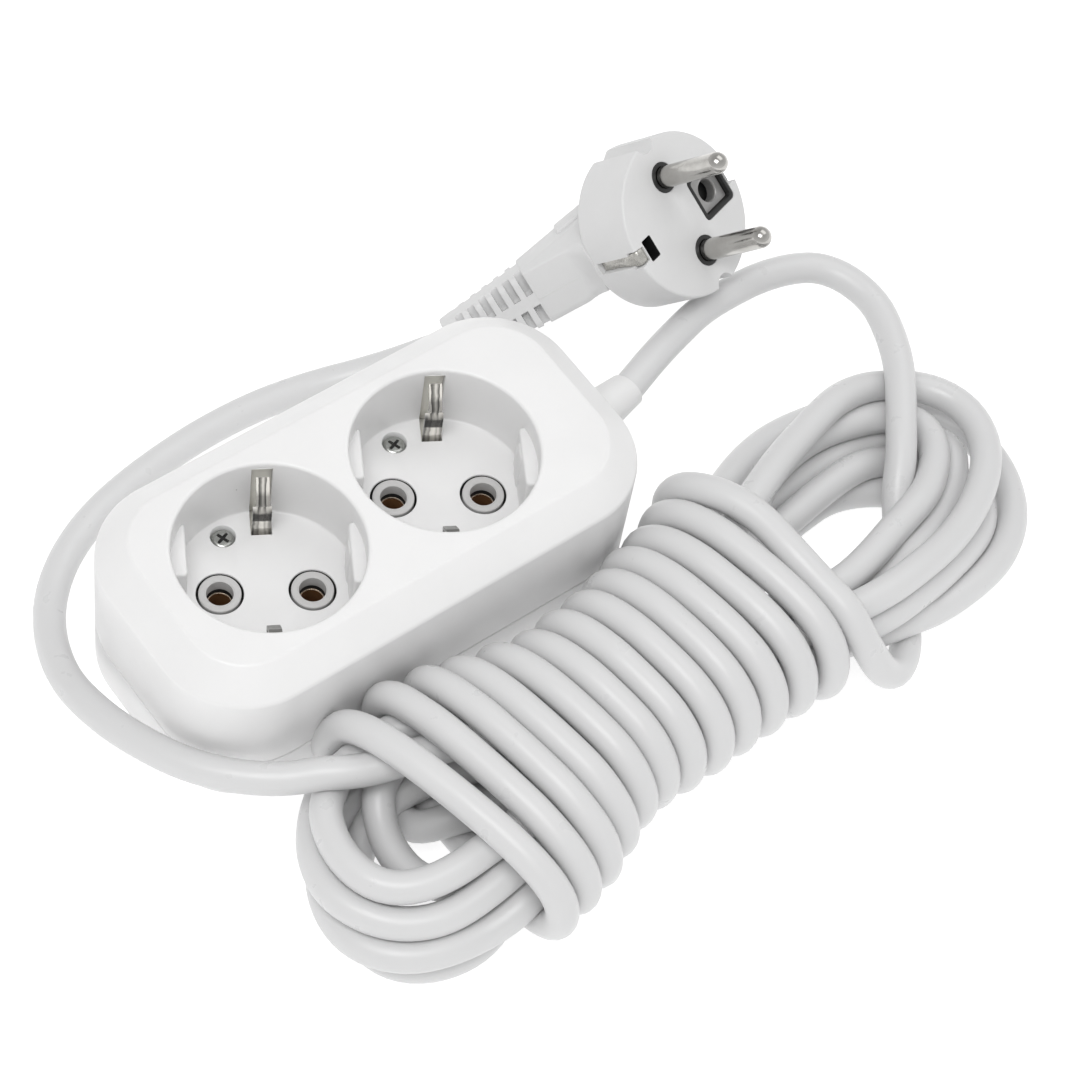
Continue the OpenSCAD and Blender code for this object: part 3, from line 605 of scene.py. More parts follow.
# far earth clips: nickel with painted highlights and painted dark reflections in the colour
M_CLIP_1 = clip_painted_glints("clip_nickel_painted_glints_1", C1)
M_CLIP_2 = clip_painted_glints("clip_nickel_painted_glints_2", C2)


def striped(name):
    m, nt, b = nodes_of(name)
    v = coords(nt, 1.0)
    w = nt.nodes.new("ShaderNodeTexWave")
    w.inputs["Scale"].default_value = 120.0
    nt.links.new(v, w.inputs["Vector"])
    nt.links.new(mix(nt, ramp(nt, w.outputs["Fac"], 0.0, 1.0, 0.45, 0.55), (0.06, 0.32, 0.05), (0.75, 0.6, 0.03)), b.inputs["Base Color"])
    nt.links.new(bump(nt, noise(nt, v, 2000.0), 0.3, 0.00002), b.inputs["Normal"])
    b.inputs["Roughness"].default_value = 0.4
    return m


M_EARTHWIRE = striped("core_green_yellow")


# ------------------------------------------------------------------ cord
def frames(P):
    t = np.gradient(P, axis=0)
    t /= np.linalg.norm(t, axis=1, keepdims=True)
    u = np.zeros_like(P)
    s = np.array([0.02, 0.1, 1.0])
    for i in range(len(P)):
        s = s - t[i] * s.dot(t[i])
        s /= np.linalg.norm(s)
        u[i] = s
    return t, u, np.cross(t, u)


def tube(name, P, radius, mat, sides=20, ends=True):
    t, u, w = frames(P)
    a = np.linspace(0, 2 * np.pi, sides, endpoint=False)
    r = np.broadcast_to(np.asarray(radius, float), (len(P),))[:, None, None]
    V = P[:, None, :] + r * (np.cos(a)[None, :, None] * u[:, None, :] + np.sin(a)[None, :, None] * w[:, None, :])
    g = Geo()
    g.loft([[tuple(p) for p in ring] for ring in V])
    if ends:
        g.cap([tuple(p) for p in V[0]])
        g.cap([tuple(p) for p in V[-1]])
    return make(name, g.V, g.F, mat, sharp=60, merge=0)


s_ = np.linspace(0, CORD_LEN, len(PATH))
wob = 1 + 0.004 * np.sin(s_ / 31.0) + 0.003 * np.sin(s_ / 9.7 + 1.3)
cord = tube("cord", PATH, CORD_R * wob - 0.02, M_SHEATH)
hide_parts("cord_lead_block", "cord_lead_plug", "cord_hank")

# moulded outlet boot, swept along the first bend of the cord
prof = fillet([(3.4, 56.6), (6.6, 56.6), (6.6, 58.0), (5.3, 58.4), (5.15, 60), (4.1, 69.6), (3.45, 69.9)], [0, 0.1, 0.35, 0.4, 1.5, 0.25, 0], 4)
cum = np.concatenate([[0], np.cumsum(np.linalg.norm(np.diff(PATH, axis=0), axis=1))])
bt, bu, bw = frames(PATH)
g = Geo()
rings = []
for r, x in prof:
    s = x - 55.0
    P = np.array([np.interp(s, cum, PATH[:, k]) for k in range(3)])
    U = np.array([np.interp(s, cum, bu[:, k]) for k in range(3)])
    W = np.array([np.interp(s, cum, bw[:, k]) for k in range(3)])
    rings.append([tuple(P + r * (math.cos(a) * U + math.sin(a) * W)) for a in np.linspace(0, 2 * math.pi, 56, endpoint=False)])
g.loft(rings)
boot = make("cord_boot", g.V, g.F, M_BOOT)
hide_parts("cord_grommet")


# ------------------------------------------------------------------ cover
g = Geo()
prof = fillet([(0.45, SPLIT + 0.02), (0.0, SPLIT + 0.45), (0, BAND_Z), (BAND_IN, BH), (BAND_IN + 1.6, BH)], [0, 0.2, 1.7, 1.3, 0], 6)
prof[-1] = (prof[-2][0] + 0.25, BH)
g.loft([[(x, y, z) for x, y in rrect(BL / 2 - d, BW / 2 - d, CR - d, 16)] for d, z in prof])
edge = rrect(BL / 2 - prof[-1][0], BW / 2 - prof[-1][0], CR - prof[-1][0], 16)
dq = math.asin(2.2 / WELL_R)
cuts = [rad(60) - dq, rad(60) + dq, rad(240) - dq, rad(240) + dq]
TH = sorted([2 * math.pi * k / 120 for k in range(120) if all(abs(2 * math.pi * k / 120 - c) > 0.012 for c in cuts)] + cuts)
NT = len(TH)


def in_slot(k):
    m = (TH[k] + (TH[(k + 1) % NT] if k + 1 < NT else TH[0] + 2 * math.pi)) / 2
    return abs(m - rad(60)) < dq or abs(m - rad(240)) < dq


RIM = 0.75
holes = [[(c + (WELL_R + RIM + 0.2) * math.cos(t), (WELL_R + RIM + 0.2) * math.sin(t)) for t in TH] for c in (C1, C2)]
g.plate(edge, holes, lambda x, y: (x, y, BH))
SLOT_TOP = 40.3
for c in (C1, C2):
    pr = [(WELL_R + RIM + 0.2, BH)] + [(WELL_R + RIM - RIM * math.sin(a), BH - RIM + RIM * math.cos(a)) for a in [rad(90 * k / 6) for k in range(7)]]
    pr += [(WELL_R, SLOT_TOP), (WELL_R, 30.0), (WELL_R, FLOOR_Z + 0.5)]
    cut_from = len(pr) - 3
    pr += [(WELL_R - 0.5 + 0.5 * math.cos(a), FLOOR_Z + 0.5 - 0.5 * math.sin(a)) for a in [rad(90 * k / 4) for k in range(1, 5)]]
    g.loft([[(c + r * math.cos(t), r * math.sin(t), z) for t in TH] for r, z in pr], skip=lambda i, k: i >= cut_from and in_slot(k))
    # floor outline with the two notches
    rf = WELL_R - 0.5
    pl = lambda p, q: (c + p * CA - q * SA, p * SA + q * CA)
    outer = []
    for k in range(NT):
        if k and in_slot(k - 1) and in_slot(k):
            continue
        t = TH[k]
        for s, qd in ((1, rad(60)), (-1, rad(240))):
            if abs(t - (qd - dq)) < 1e-9:
                outer += [pl(s * 2.2, s * WELL_R), pl(s * 2.2, s * 13.8)]
                break
            if abs(t - (qd + dq)) < 1e-9:
                outer += [pl(-s * 2.2, s * 13.8), pl(-s * 2.2, s * WELL_R)]
                break
        else:
            outer.append((c + rf * math.cos(t), rf * math.sin(t)))
    pinh = [circle(*pl(s * 9.5, 0), 5.12, 56) for s in (-1, 1)]
    scr = circle(c, 16.0, 2.85, 48)
    g.plate(outer, pinh + [scr], lambda x, y: (x, y, FLOOR_Z))
    for s in (-1, 1):
        o = pl(s * 9.5, 0)
        g.loft([[(x, y, z) for x, y in circle(o[0], o[1], r, 56)] for r, z in [(5.12, FLOOR_Z), (5.0, FLOOR_Z - 0.04), (4.94, FLOOR_Z - 0.16), (4.93, FLOOR_Z - 0.5)]])
    g.loft([[(x, y, z) for x, y in circle(c, 16.0, r, 48)] for r, z in [(2.85, FLOOR_Z), (2.72, FLOOR_Z - 0.08), (2.65, FLOOR_Z - 0.25), (2.65, 20.4), (1.7, 20.4), (1.7, 16)]])
    # slot walls
    for s in (1, -1):
        qw = math.sqrt(WELL_R**2 - 2.2**2)
        P = lambda p, q, z: (*pl(s * p, s * q), z)
        for e in (1, -1):
            g.quad(P(e * 2.2, 13.8, FLOOR_Z), P(e * 2.2, 22.9, FLOOR_Z), P(e * 2.2, 22.9, 20.6), P(e * 2.2, 13.8, 20.6))
            g.quad(P(e * 2.2, qw, SLOT_TOP), P(e * 2.2, 22.9, SLOT_TOP), P(e * 2.2, 22.9, FLOOR_Z), P(e * 2.2, qw, FLOOR_Z))
        g.quad(P(-2.2, 13.8, FLOOR_Z), P(2.2, 13.8, FLOOR_Z), P(2.2, 13.8, 20.6), P(-2.2, 13.8, 20.6))
        g.quad(P(-2.2, qw, SLOT_TOP), P(2.2, qw, SLOT_TOP), P(2.2, 22.9, SLOT_TOP), P(-2.2, 22.9, SLOT_TOP))
        g.quad(P(-2.2, 22.9, SLOT_TOP), P(2.2, 22.9, SLOT_TOP), P(2.2, 22.9, 20.6), P(-2.2, 22.9, 20.6))
cover = make("cover_shell", g.V, g.F, M_COVER, sharp=32)
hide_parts("housing_cover", "outlet_wall_1", "outlet_wall_2", "outlet_floor_1", "outlet_floor_2")

# faces of the earth strip that close the backs of the slots
for n, c in ((1, C1), (2, C2)):
    g = Geo()
    for s in (1, -1):
        P = lambda p, q, z: (c + s * (p * CA - q * SA), s * (p * SA + q * CA), z)
        lp = []
        for z, e in ((22.5, 0.0), (26.0, 0.0), (26.25, 0.12), (38.6, 0.12), (38.9, 0.0), (SLOT_TOP - 0.02, 0.0)):
            lp.append([P(p, q + e, z) for p, q in ((-2.16, 21.65), (-2.16, 21.4), (-1.9, 21.25), (1.9, 21.25), (2.16, 21.4), (2.16, 21.65))])
        g.loft(lp)
    face = make("earth_strip_faces_%d" % n, g.V, g.F, M_STRIP, sharp=40)

# guide lugs at the ends of the pin lines: a pad at each end, and at one end a narrow, lower rib against the pad's inner
# face
for n, c in ((1, C1), (2, C2)):
    g = Geo()
    for s in (1, -1):
        for hx, hy, cx, oy_, top in (((2.3, 6.3, 18.6, 4.6, 35.0),) if s < 0 else ((2.0, 7.2, 18.8, 1.4, 36.5), (0.7, 2.4, 17.2, 3.4, 35.5))):
            lp = []
            for r, z in [(0, FLOOR_Z - 0.2), (0, top - 0.6)] + [(0.6 - 0.6 * math.cos(a), top - 0.6 + 0.6 * math.sin(a)) for a in [rad(90 * k / 4) for k in range(1, 5)]]:
                q = rrect(hx - r, hy - r, max(0.9 - r * 0.6, 0.3), 4, s * cx, oy_)
                lp.append([(c + p_ * CA - q_ * SA, p_ * SA + q_ * CA, z) for p_, q_ in q])
            g.loft(lp)
            g.cap(lp[-1])
    lug = make("guide_lugs_%d" % n, g.V, g.F, M_COVER, sharp=40)

# ------------------------------------------------------------------ base
g = Geo()
prof = fillet([(2.6, 0), (0, 0), (0, SPLIT - 0.42), (0.45, SPLIT - 0.02)], [0, 1.1, 0.2, 0], 6)
lp = [[(x, y, z) for x, y in rrect(BL / 2 - d, BW / 2 - d, CR - d, 16)] for d, z in prof]
g.loft(lp)
g.plate([(p[0], p[1]) for p in lp[0]], [], lambda x, y: (x, y, 0))
base = make("base_shell", g.V, g.F, M_BASE, sharp=32)
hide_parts("housing_base")

# lips of the contact carriers, just over the CAD tubes
for n, c in ((1, C1), (2, C2)):
    g = Geo()
    for s in (-1, 1):
        ox, oy = c + s * 9.5 * CA, s * 9.5 * SA
        pf = fillet([(2.82, 21.6), (2.82, FLOOR_Z + 0.12), (4.42, FLOOR_Z + 0.12), (4.42, 21.0)], [0, 0.5, 0.3, 0], 5)
        q = revolve(pf, 64, lambda x, y, z: (x + ox, y + oy, z))
        g.add(q.V, q.F)
    lip = make("carrier_lips_%d" % n, g.V, g.F, M_CARRIER, sharp=50)
    # black shell in the gap round each tube and black lining of the throat: painted shade; the bright edge of the
    # contact in it is a brighter copy of the contact metal, a painted glint
    g = Geo()
    h = Geo()
    w_ = Geo()
    for s in (-1, 1):
        ox, oy = c + s * 9.5 * CA, s * 9.5 * SA
        q = revolve([(4.93, FLOOR_Z - 0.45), (4.93, 21.6), (4.41, 21.6)], 64, lambda x, y, z: (x + ox, y + oy, z))
        g.add(q.V, q.F)
        q = revolve([(2.83, 21.7), (2.70, 21.5), (2.68, 20.4)], 64, lambda x, y, z: (x + ox, y + oy, z))
        g.add(q.V, q.F)
        q = revolve([(2.69, 20.5), (2.62, 20.62), (2.5, 20.6), (2.44, 20.4), (2.44, 20.2)], 48, lambda x, y, z: (x + ox, y + oy, z))
        h.add(q.V, q.F)
        q = revolve([(2.44, 20.3), (2.42, 20.1), (2.36, 18.9), (2.36, 17.6)], 48, lambda x, y, z: (x + ox, y + oy, z))
        w_.add(q.V, q.F)
    sleeve = make("contact_sleeves_%d" % n, w_.V, w_.F, M_BRASS, sharp=50)
    # black in the gaps and throats: painted shade
    gap = make("carrier_gaps_%d" % n, g.V, g.F, M_BLACK, sharp=50)
    # bright ring at the contact's edge: painted glint
    rim = make("contact_rims_%d" % n, h.V, h.F, M_CONTACT_RIM_GLINT, sharp=50)


# heads of the cover screws: a low dome with a cross recess, and a black plate in the recess as painted shade
def cross_hole(cx, cy, L, w):
    pts = []
    for k in range(4):
        a = rad(20 + 90 * k)
        ca, sa = math.cos(a), math.sin(a)
        for x, y in ((w, -w), (L - 0.15, -w * 0.9), (L, -w * 0.5), (L, w * 0.5), (L - 0.15, w * 0.9)):
            pts.append((cx + x * ca - y * sa, cy + x * sa + y * ca))
    return pts


g = Geo()
h = Geo()
for c in (C1, C2):
    top = FLOOR_Z - 0.7
    pf = [(2.4, top - 2.2), (2.4, top - 0.6), (2.33, top - 0.46), (2.2, top - 0.32), (2.05, top - 0.2), (1.9, top - 0.12), (1.72, top - 0.06)]
    g.loft([[(c + r * math.cos(2 * math.pi * k / 48), 16 + r * math.sin(2 * math.pi * k / 48), z) for k in range(48)] for r, z in pf])
    rim = [(c + 1.72 * math.cos(2 * math.pi * k / 48), 16 + 1.72 * math.sin(2 * math.pi * k / 48)) for k in range(48)]
    g.plate(rim, [cross_hole(c, 16, 1.5, 0.36)], lambda x, y: (x, y, top - 0.06))
    g.loft([[(x, y, z) for x, y in cross_hole(c, 16, 1.5 - d, 0.36 - d * 0.3)] for d, z in ((0, top - 0.06), (0.12, top - 0.6), (0.3, top - 0.95))])
    # black plate low in each cross recess: painted shade
    h.plate(cross_hole(c, 16, 1.36, 0.34), [], lambda x, y: (x, y, top - 0.55))
heads = make("screw_heads", g.V, g.F, M_HEAD, sharp=30)
deep = make("screw_cross_painted_shade", h.V, h.F, M_BLACK, sharp=30)

# ------------------------------------------------------------------ plug
g = Geo()
A0 = math.asin(2.7 / 18.65)
marks = []
for c0 in (0, 180):
    marks += [rad(c0) - A0, rad(c0) - A0 + 0.0015, rad(c0) + A0 - 0.0015, rad(c0) + A0]
E0 = rad(8.0)
E1 = rad(4.3)
E2 = rad(6.4)
for c0 in (90, 270):
    marks += [rad(c0) + s * (e - k) for s in (-1, 1) for e in (E0, E1, E2) for k in (0, 0.0008)]
PT = sorted(set([rad(1.5 * k) for k in range(240)] + [m % (2 * math.pi) for m in marks]))


def key_r(t, r):
    """radius of the head's rim cut by the round key grooves at the ends of the pin line"""
    for c0 in (0, math.pi, 2 * math.pi):
        d = t - c0
        s = 18.65 * math.sin(d)
        if abs(d) < 1 and abs(s) < 2.7:
            r = min(r, max(18.65 * math.cos(d) - math.sqrt(2.7**2 - s * s), 10))
    return r


def strip_r(t, r, z):
    for c0 in (math.pi / 2, 1.5 * math.pi):
        d = abs(t - c0)
        if d < (E0 if c0 < 3 else E2) - 0.0004 and z > -2.6:
            r = min(r, (15.1 if c0 < 3 else 15.3) / math.cos(d))
        elif d < E1 - 0.0004 and z > -12.6:
            r = min(r, 16.3 / math.cos(d))
    return r


prof = fillet([(17.0, 0), (18.25, 0), (18.25, -14.4), (13.2, -19.8), (0.5, -20.6)], [0, 0.55, 2.2, 3.0, 0], 7)
rows = []
for r, z in prof:
    rows.append((r, z))
zs = [(18.25, z) for z in (-2.58, -2.62, -6, -9, -12.58, -12.62)]
k = next(i for i, (r, z) in enumerate(rows) if z < -2.5)
rows = rows[:k] + zs + rows[k:]


def head_pt(t, r, z):
    rr = r
    if r > 12:
        rr = strip_r(t, key_r(t, r) if z > -17.5 else r, z)
        if z <= -14.4:
            f = (z + 17.5) / 3.1
            rr = r - (r - key_r(t, r)) * max(0.0, min(1.0, f))
    return plug_pt((rr * math.cos(t), rr * math.sin(t), z))


g.loft([[head_pt(t, r, z) for t in PT] for r, z in rows])
face_edge = []
for t in PT:
    rr = strip_r(t, key_r(t, 17.0), 0)
    face_edge.append((rr * math.cos(t), rr * math.sin(t)))
ph = [circle(s * 9.5, 0, 3.55, 40) for s in (-1, 1)]
sq = rrect(5.3, 5.5, 1.3, 6, 0, 10.0)
pocket = rrect(2.55, 1.5, 0.3, 3, 0, -13.55)
g.plate(face_edge, ph + [sq, pocket], lambda x, y: plug_pt((x, y, 0)))
for s in (-1, 1):
    g.loft([[plug_pt((x, y, z)) for x, y in circle(s * 9.5, 0, r, 40)] for r, z in [(3.55, 0), (3.43, -0.06), (3.4, -0.25), (3.4, -6)]])
g.loft([[plug_pt((x, y, z)) for x, y in rrect(5.3 - d, 5.5 - d, 1.3 - d, 6, 0, 10.0)] for d, z in [(0, 0), (0.1, -0.06), (0.12, -0.25), (0.12, -5.8)]])
plug_head = make("plug_head", g.V, g.F, M_PLUG, sharp=36, merge=0.0004)
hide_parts("plug_body")

# neck: flat-fronted block that narrows from the head to the relief; its far side slopes away from a ridge
def around(pts, radii, n=5):
    """closed polygon with rounded corners"""
    m = ((pts[0][0] + pts[-1][0]) / 2, (pts[0][1] + pts[-1][1]) / 2)
    return fillet([m] + pts + [m], [0] + radii + [0], n)[:-1]


S0, S1 = 27.6, 49.0
g = Geo()
lp = []
for i in range(31):
    s = -4 + (S0 - 0.3 + 4) * i / 30
    f = max(0, min(1, (s - 1) / (S0 - 1)))
    hl = 11 - 4.1 * f**0.85
    hr = 7.0 - 0.2 * f + 3.4 * max(0, (9 - s) / 9) ** 2
    hb = 8.5 - 2.5 * f**0.8
    hy = 6.0 + 1.9 * (S0 - s) / 9.6 if s > 18 else min(7.9 + (18 - s) ** 2 * 0.235, 12.6)
    if s < 13.4:
        hy = max(12.6 - (13.4 - s) * 1.3, 6.0)
    rr = 1.5 - 0.4 * f
    rh = 5.0 * max(0.0, min(1.0, (18.5 - s) / 5)) ** 1.3
    lp.append([neck_pt((x, y, s)) for x, y in around([(-hl, -hb), (hr, -hb), (hr, hy), (-6.4, hy), (-hl, min(hy - 1.5, 1.5 + 2.5 * f))], [rr, rr, rr + 0.6 + rh, 0.55 + rh, 1.1])])
for e, s in ((0.0, S0 - 0.12), (0.05, S0 + 0.02)):
    lp.append([neck_pt((x, y, s)) for x, y in around([(-6.9 + e, -6.0 + e), (6.8 - e, -6.0 + e), (6.8 - e, 6.0 - e), (-6.4, 6.0 - e), (-6.9 + e, 4.0)], [1.1, 1.1, 1.7, 0.4, 0.6])])
g.loft(lp)
g.cap(lp[-1])
# raised flat along the far side
for s0, s1 in ((-2, 16.8),):
    pads = []
    for s, e in ((s0, 0.0), (s1 - 0.35, 0.0), (s1, 0.55)):
        f = max(0, min(1, (s - 1) / (S0 - 1)))
        hl = 11 - 4.1 * f**0.85 + 0.75 - e
        pads.append([neck_pt((x, y, s)) for x, y in around([(-hl, -5.5), (-hl + 3, -5.5), (-hl + 3, 0.3 + e), (-hl, 0.3 - e * 0.3)], [0.4, 0.2, 0.2, 0.4])])
    g.loft(pads)
    g.cap(pads[-1])
# mould line along the front face
neck = make("plug_neck", g.V, g.F, M_PLUG, sharp=30)
g = Geo()
lp = []
for i in range(17):
    s = 17.2 + (S0 - 17.4) * i / 16
    hy = 6.0 + 1.9 * (S0 - s) / 9.6 if s > 18 else 7.9 + (18 - s) ** 2 * 0.235
    lp.append([neck_pt((0.4 + x, hy + y, s)) for x, y in ((-0.22, -0.1), (-0.08, 0.07), (0.08, 0.07), (0.22, -0.1))])
g.loft(lp)
seam = make("plug_seam", g.V, g.F, M_PLUG, sharp=60)

# slotted relief: rounded bar cut by two rows of slots, level with each other, on its broad faces
T2 = [rad(3 * k) for k in range(120)]
for c0 in (90, 270):
    T2 += [rad(c0 + s * a) for s in (-1, 1) for a in (14.0, 14.6, 84.0, 84.6)]
T2 = sorted(set(T2))


def bar_r(t, hx, hy, r):
    """distance to a rounded rectangle's edge in direction t"""
    c, s = abs(math.cos(t)), abs(math.sin(t))
    lo, hi = 0.0, hx + hy
    for _ in range(26):
        m = (lo + hi) / 2
        x, y = m * c, m * s
        dx, dy = max(x - (hx - r), 0), max(y - (hy - r), 0)
        ins = x <= hx and y <= hy and dx * dx + dy * dy <= r * r + 1e-9
        if ins:
            lo = m
        else:
            hi = m
    return lo


slots = [(S0 + 0.3 + 3.15 * k, side) for k in range(7) for side in (1, -1) if S0 + 0.3 + 3.15 * k < S1 - 2.2]
ss = set(np.round(np.arange(S0, S1 - 0.4, 0.75), 3).tolist())
for a, _ in slots:
    ss |= {round(a - 0.02, 3), round(a + 0.02, 3), round(a + 1.68, 3), round(a + 1.72, 3)}
ss = sorted(ss) + [S1 - 0.35, S1 - 0.1, S1]
g = Geo()
lp = []
for s in ss:
    f = (s - S0) / (S1 - S0)
    hx, hy = 6.75 - 1.7 * f, 5.9 - 1.2 * f
    e = 0.0 if s < S1 - 0.3 else (0.12 if s < S1 - 0.05 else 0.4)
    ring = []
    for t in T2:
        r = bar_r(t, hx - e, hy - e, 1.5)
        for a, side in slots:
            if a < s < a + 1.7:
                d = abs((math.degrees(t) % 180) - 90)
                if 14.3 < d < 84.3 and math.copysign(1, math.cos(t)) == side:
                    r = min(r, max(3.6, 3.2 / max(abs(math.sin(t)), 0.3)))
        ring.append(neck_pt((r * math.cos(t), r * math.sin(t), s)))
    lp.append(ring)
g.loft(lp)
g.cap(lp[-1])
relief = make("plug_relief", g.V, g.F, M_PLUG, sharp=34, merge=0)

# black bridge: collars round the pins and the well of the earth hole
g = Geo()
for s in (-1, 1):
    pf = fillet([(2.3, -6), (2.42, 0.18), (3.36, 0.12), (3.36, -6)], [0, 0.15, 0.3, 0], 5)
    q = revolve(pf, 48, lambda x, y, z: plug_pt((x + s * 9.5, y, z)))
    g.add(q.V, q.F)
fr = [(0.0, -5.7), (0.0, -0.28), (0.1, -0.1), (0.3, -0.04), (0.75, -0.04), (0.93, -0.1), (1.0, -0.3), (1.0, -4.5)]
lp = [[plug_pt((x, y, z)) for x, y in rrect(5.15 - d, 5.35 - d, max(1.2 - d * 0.45, 0.4), 6, 0, 10.0)] for d, z in fr]
g.loft(lp)
g.cap(lp[-1])
# black fillings at the mouths of the two side grooves: painted shade
lpp = [[plug_pt((x, y, z)) for x, y in rrect(2.05 - d, 0.95 - d, 0.2, 3, 0, 16.15)] for d, z in [(0, -2.55), (0, -1.5), (0.15, -1.35)]]
g.loft(lpp)
g.cap(lpp[-1])
lpp = [[plug_pt((x, y, z)) for x, y in rrect(2.55 + d, 1.5 + d, 0.3, 3, 0, -13.55)] for d, z in [(0.02, -0.02), (-0.08, -0.12), (-0.08, -3.2)]]
g.loft(lpp)
g.cap(lpp[-1])
bridge = make("plug_bridge_piece", g.V, g.F, M_BLACK, sharp=40)
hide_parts("plug_bridge")

# pins
for nm, s in (("a", -1), ("b", 1)):
    pf = [(2.28, -3.0), (2.28, 0.1), (2.4, 0.5)] + [(2.4, z) for z in (4, 8, 12, 15, 16.2)]
    pf += [(2.4 * math.cos(a), 16.6 + 2.4 * math.sin(a)) for a in [rad(90 * k / 12) for k in range(0, 12)]] + [(0.02, 19.0)]
    q = revolve(pf, 56, lambda x, y, z: plug_pt((x + s * 9.5, y, z)))
    q.cap(q.V[-56:])
    p = make("plug_pin_%s_piece" % nm, q.V, q.F, M_PIN, sharp=50)
    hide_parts("plug_pin_" + nm)

# earth contact: side strips and the plate with its rolled hole
g = Geo()
for s in (-1, 1):
    path = [(17.75, -2.6), (17.8, -4.2), (17.6, -5.6), (17.3, -6.8), (17.15, -8.2), (17.1, -10.5), (17.05, -12.3), (16.8, -12.5), (16.2, -12.58)]
    if s < 0:
        path = [(15.35, -0.45), (16.2, -0.4), (16.9, -0.5), (17.4, -0.85), (17.68, -1.5)] + path
    else:
        path = [(17.4, -1.9)] + path
    lpp = []
    for i, (y, z) in enumerate(path):
        q = path[min(i + 1, len(path) - 1)]
        o = path[max(i - 1, 0)]
        ty, tz = q[0] - o[0], q[1] - o[1]
        m = math.hypot(ty, tz)
        ny, nz = -tz / m, ty / m
        hw = 1.15 + 0.5 * max(0.0, min(1.0, (z + 3.4) / 1.4)) * (1 if s < 0 else 0)
        lpp.append([plug_pt((x, s * (y - ny * e), z - nz * e)) for x, e in ((-hw, 0.5), (-hw, 0.12), (-hw + 0.15, 0.0), (hw - 0.15, 0.0), (hw, 0.12), (hw, 0.5))])
    g.loft(lpp)
    g.cap(lpp[0])
    g.cap(lpp[-1])
strips = make("plug_earth_strips", g.V, g.F, M_SIDE_PAINTED_DARK, sharp=40)
g = Geo()
plate_out = rrect(3.95, 4.2, 0.5, 4, 0, 9.9)
hole = circle(0, 9.9, 2.95, 40)
g.plate(plate_out, [hole], lambda x, y: plug_pt((x, y, -1.2)))
g.loft([[plug_pt((x, y, z)) for x, y in circle(0, 9.9, r, 40)] for r, z in [(2.95, -1.2), (2.7, -1.08), (2.52, -1.25), (2.45, -1.7), (2.4, -3.6)]])
plate = make("plug_earth_plate", g.V, g.F, M_PLATE_PAINTED_DARK, sharp=50)
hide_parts("plug_earth_contact")

# ------------------------------------------------------------------ CAD nodes that stay
KEEP = {
    "contact_carrier_1": M_CARRIER, "contact_carrier_2": M_CARRIER, "live_bar": M_BRASS, "neutral_bar": M_BRASS, "earth_strip": M_STRIP,
    "earth_clip_1_far": M_CLIP_1, "earth_clip_1_near": M_NEAR_CLIP_SHADE, "earth_clip_2_far": M_CLIP_2, "earth_clip_2_near": M_NEAR_CLIP_SHADE,
    "cover_screws": M_ZINC, "terminal_screws": M_ZINC, "clamp_screws": M_ZINC, "cord_clamp": M_CARRIER, "cord_inner": M_SHEATH,
    "wire_live": M_BROWN, "wire_neutral": M_BLUE, "wire_earth": M_EARTHWIRE,
}
for n, m in KEEP.items():
    me = NODES[n].data
    me.materials.clear()
    me.materials.append(m)

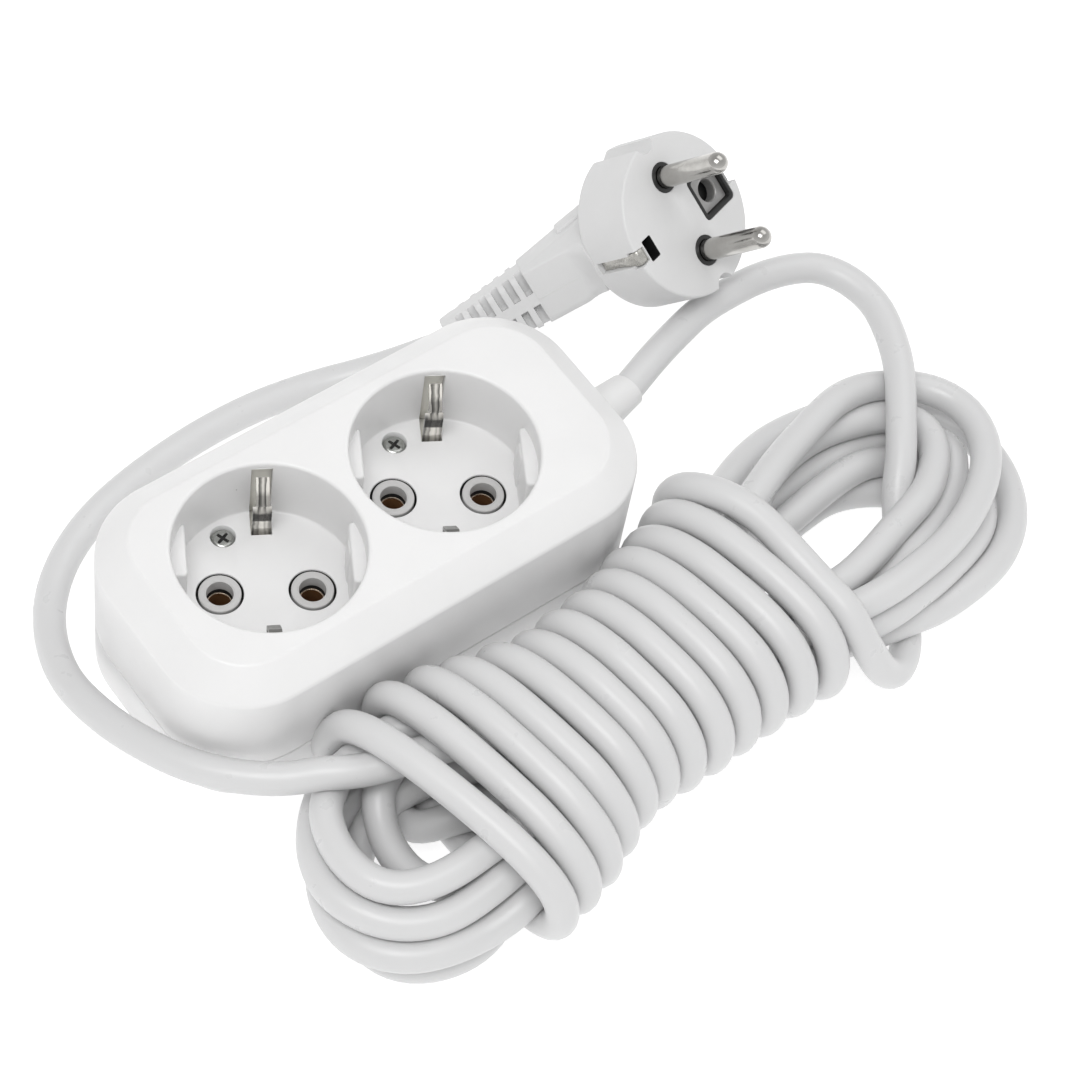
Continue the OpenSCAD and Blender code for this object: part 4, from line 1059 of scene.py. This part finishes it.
# ------------------------------------------------------------------ stage
g = Geo()
N = 24
lp = []
for j in range(N + 1):
    lp.append([(-900 + 1900 * i / N, -900 + 1900 * j / N, -0.02) for i in range(N + 1)])
g.loft(lp, closed=False)
mf, nt, b = nodes_of("floor_paper")
v = coords(nt, 1.0)
nt.links.new(mix(nt, ramp(nt, noise(nt, v, 30.0), 0, 1, 0.3, 0.7), (0.56, 0.56, 0.56), (0.53, 0.53, 0.53)), b.inputs["Base Color"])
b.inputs["Roughness"].default_value = 0.8
b.inputs["Specular IOR Level"].default_value = 0.2
b.inputs["Emission Color"].default_value = (1.0, 1.0, 1.0, 1)
b.inputs["Emission Strength"].default_value = 0.68
nt.links.new(bump(nt, noise(nt, v, 1800.0), 0.2, 0.00002), b.inputs["Normal"])
floor = make("floor", g.V, g.F, mf, body=None)

w = bpy.data.worlds.new("studio")
SC.world = w
w.use_nodes = True
wt = w.node_tree
bg = wt.nodes["Background"]
bg.inputs[1].default_value = 1.0
tc = wt.nodes.new("ShaderNodeTexCoord")


def lobe(direction, lo, hi, a, b_):
    d = wt.nodes.new("ShaderNodeVectorMath")
    d.operation = "DOT_PRODUCT"
    d.inputs[1].default_value = direction
    wt.links.new(tc.outputs["Generated"], d.inputs[0])
    r = wt.nodes.new("ShaderNodeMapRange")
    r.interpolation_type = "SMOOTHSTEP"
    for k, x in zip(("From Min", "From Max", "To Min", "To Max"), (a, b_, lo, hi)):
        r.inputs[k].default_value = x
    wt.links.new(d.outputs["Value"], r.inputs["Value"])
    return r.outputs[0]


m = wt.nodes.new("ShaderNodeMath")
m.operation = "MULTIPLY"
wt.links.new(lobe((0.0, 0.0, 1.0), 0.81, 0.58, 0.0, 0.9), m.inputs[0])
wt.links.new(lobe((0.45, -0.89, 0.0), 0.90, 1.04, -0.8, 0.8), m.inputs[1])
cc = wt.nodes.new("ShaderNodeCombineColor")
for k in range(3):
    wt.links.new(m.outputs[0], cc.inputs[k])
wt.links.new(cc.outputs[0], bg.inputs[0])


def area(name, pos, at, size, power, col=(1, 1, 1)):
    d = bpy.data.lights.new(name, "AREA")
    d.shape = "RECTANGLE"
    d.size, d.size_y = size
    d.energy = power
    d.color = col
    o = bpy.data.objects.new(name, d)
    SC.collection.objects.link(o)
    o.location = pos
    o.rotation_euler = (Vector(at) - Vector(pos)).to_track_quat("-Z", "Y").to_euler()
    return o


area("key", (-0.24, -0.12, 0.80), (0.02, 0.0, 0.0), (0.5, 0.4), 3.0)
area("fill", (0.55, 0.10, 0.90), (0.02, -0.02, 0.0), (0.8, 0.6), 1.6)
SC.view_settings.view_transform = "Standard"
SC.view_settings.look = "None"
SC.view_settings.exposure = 0.0
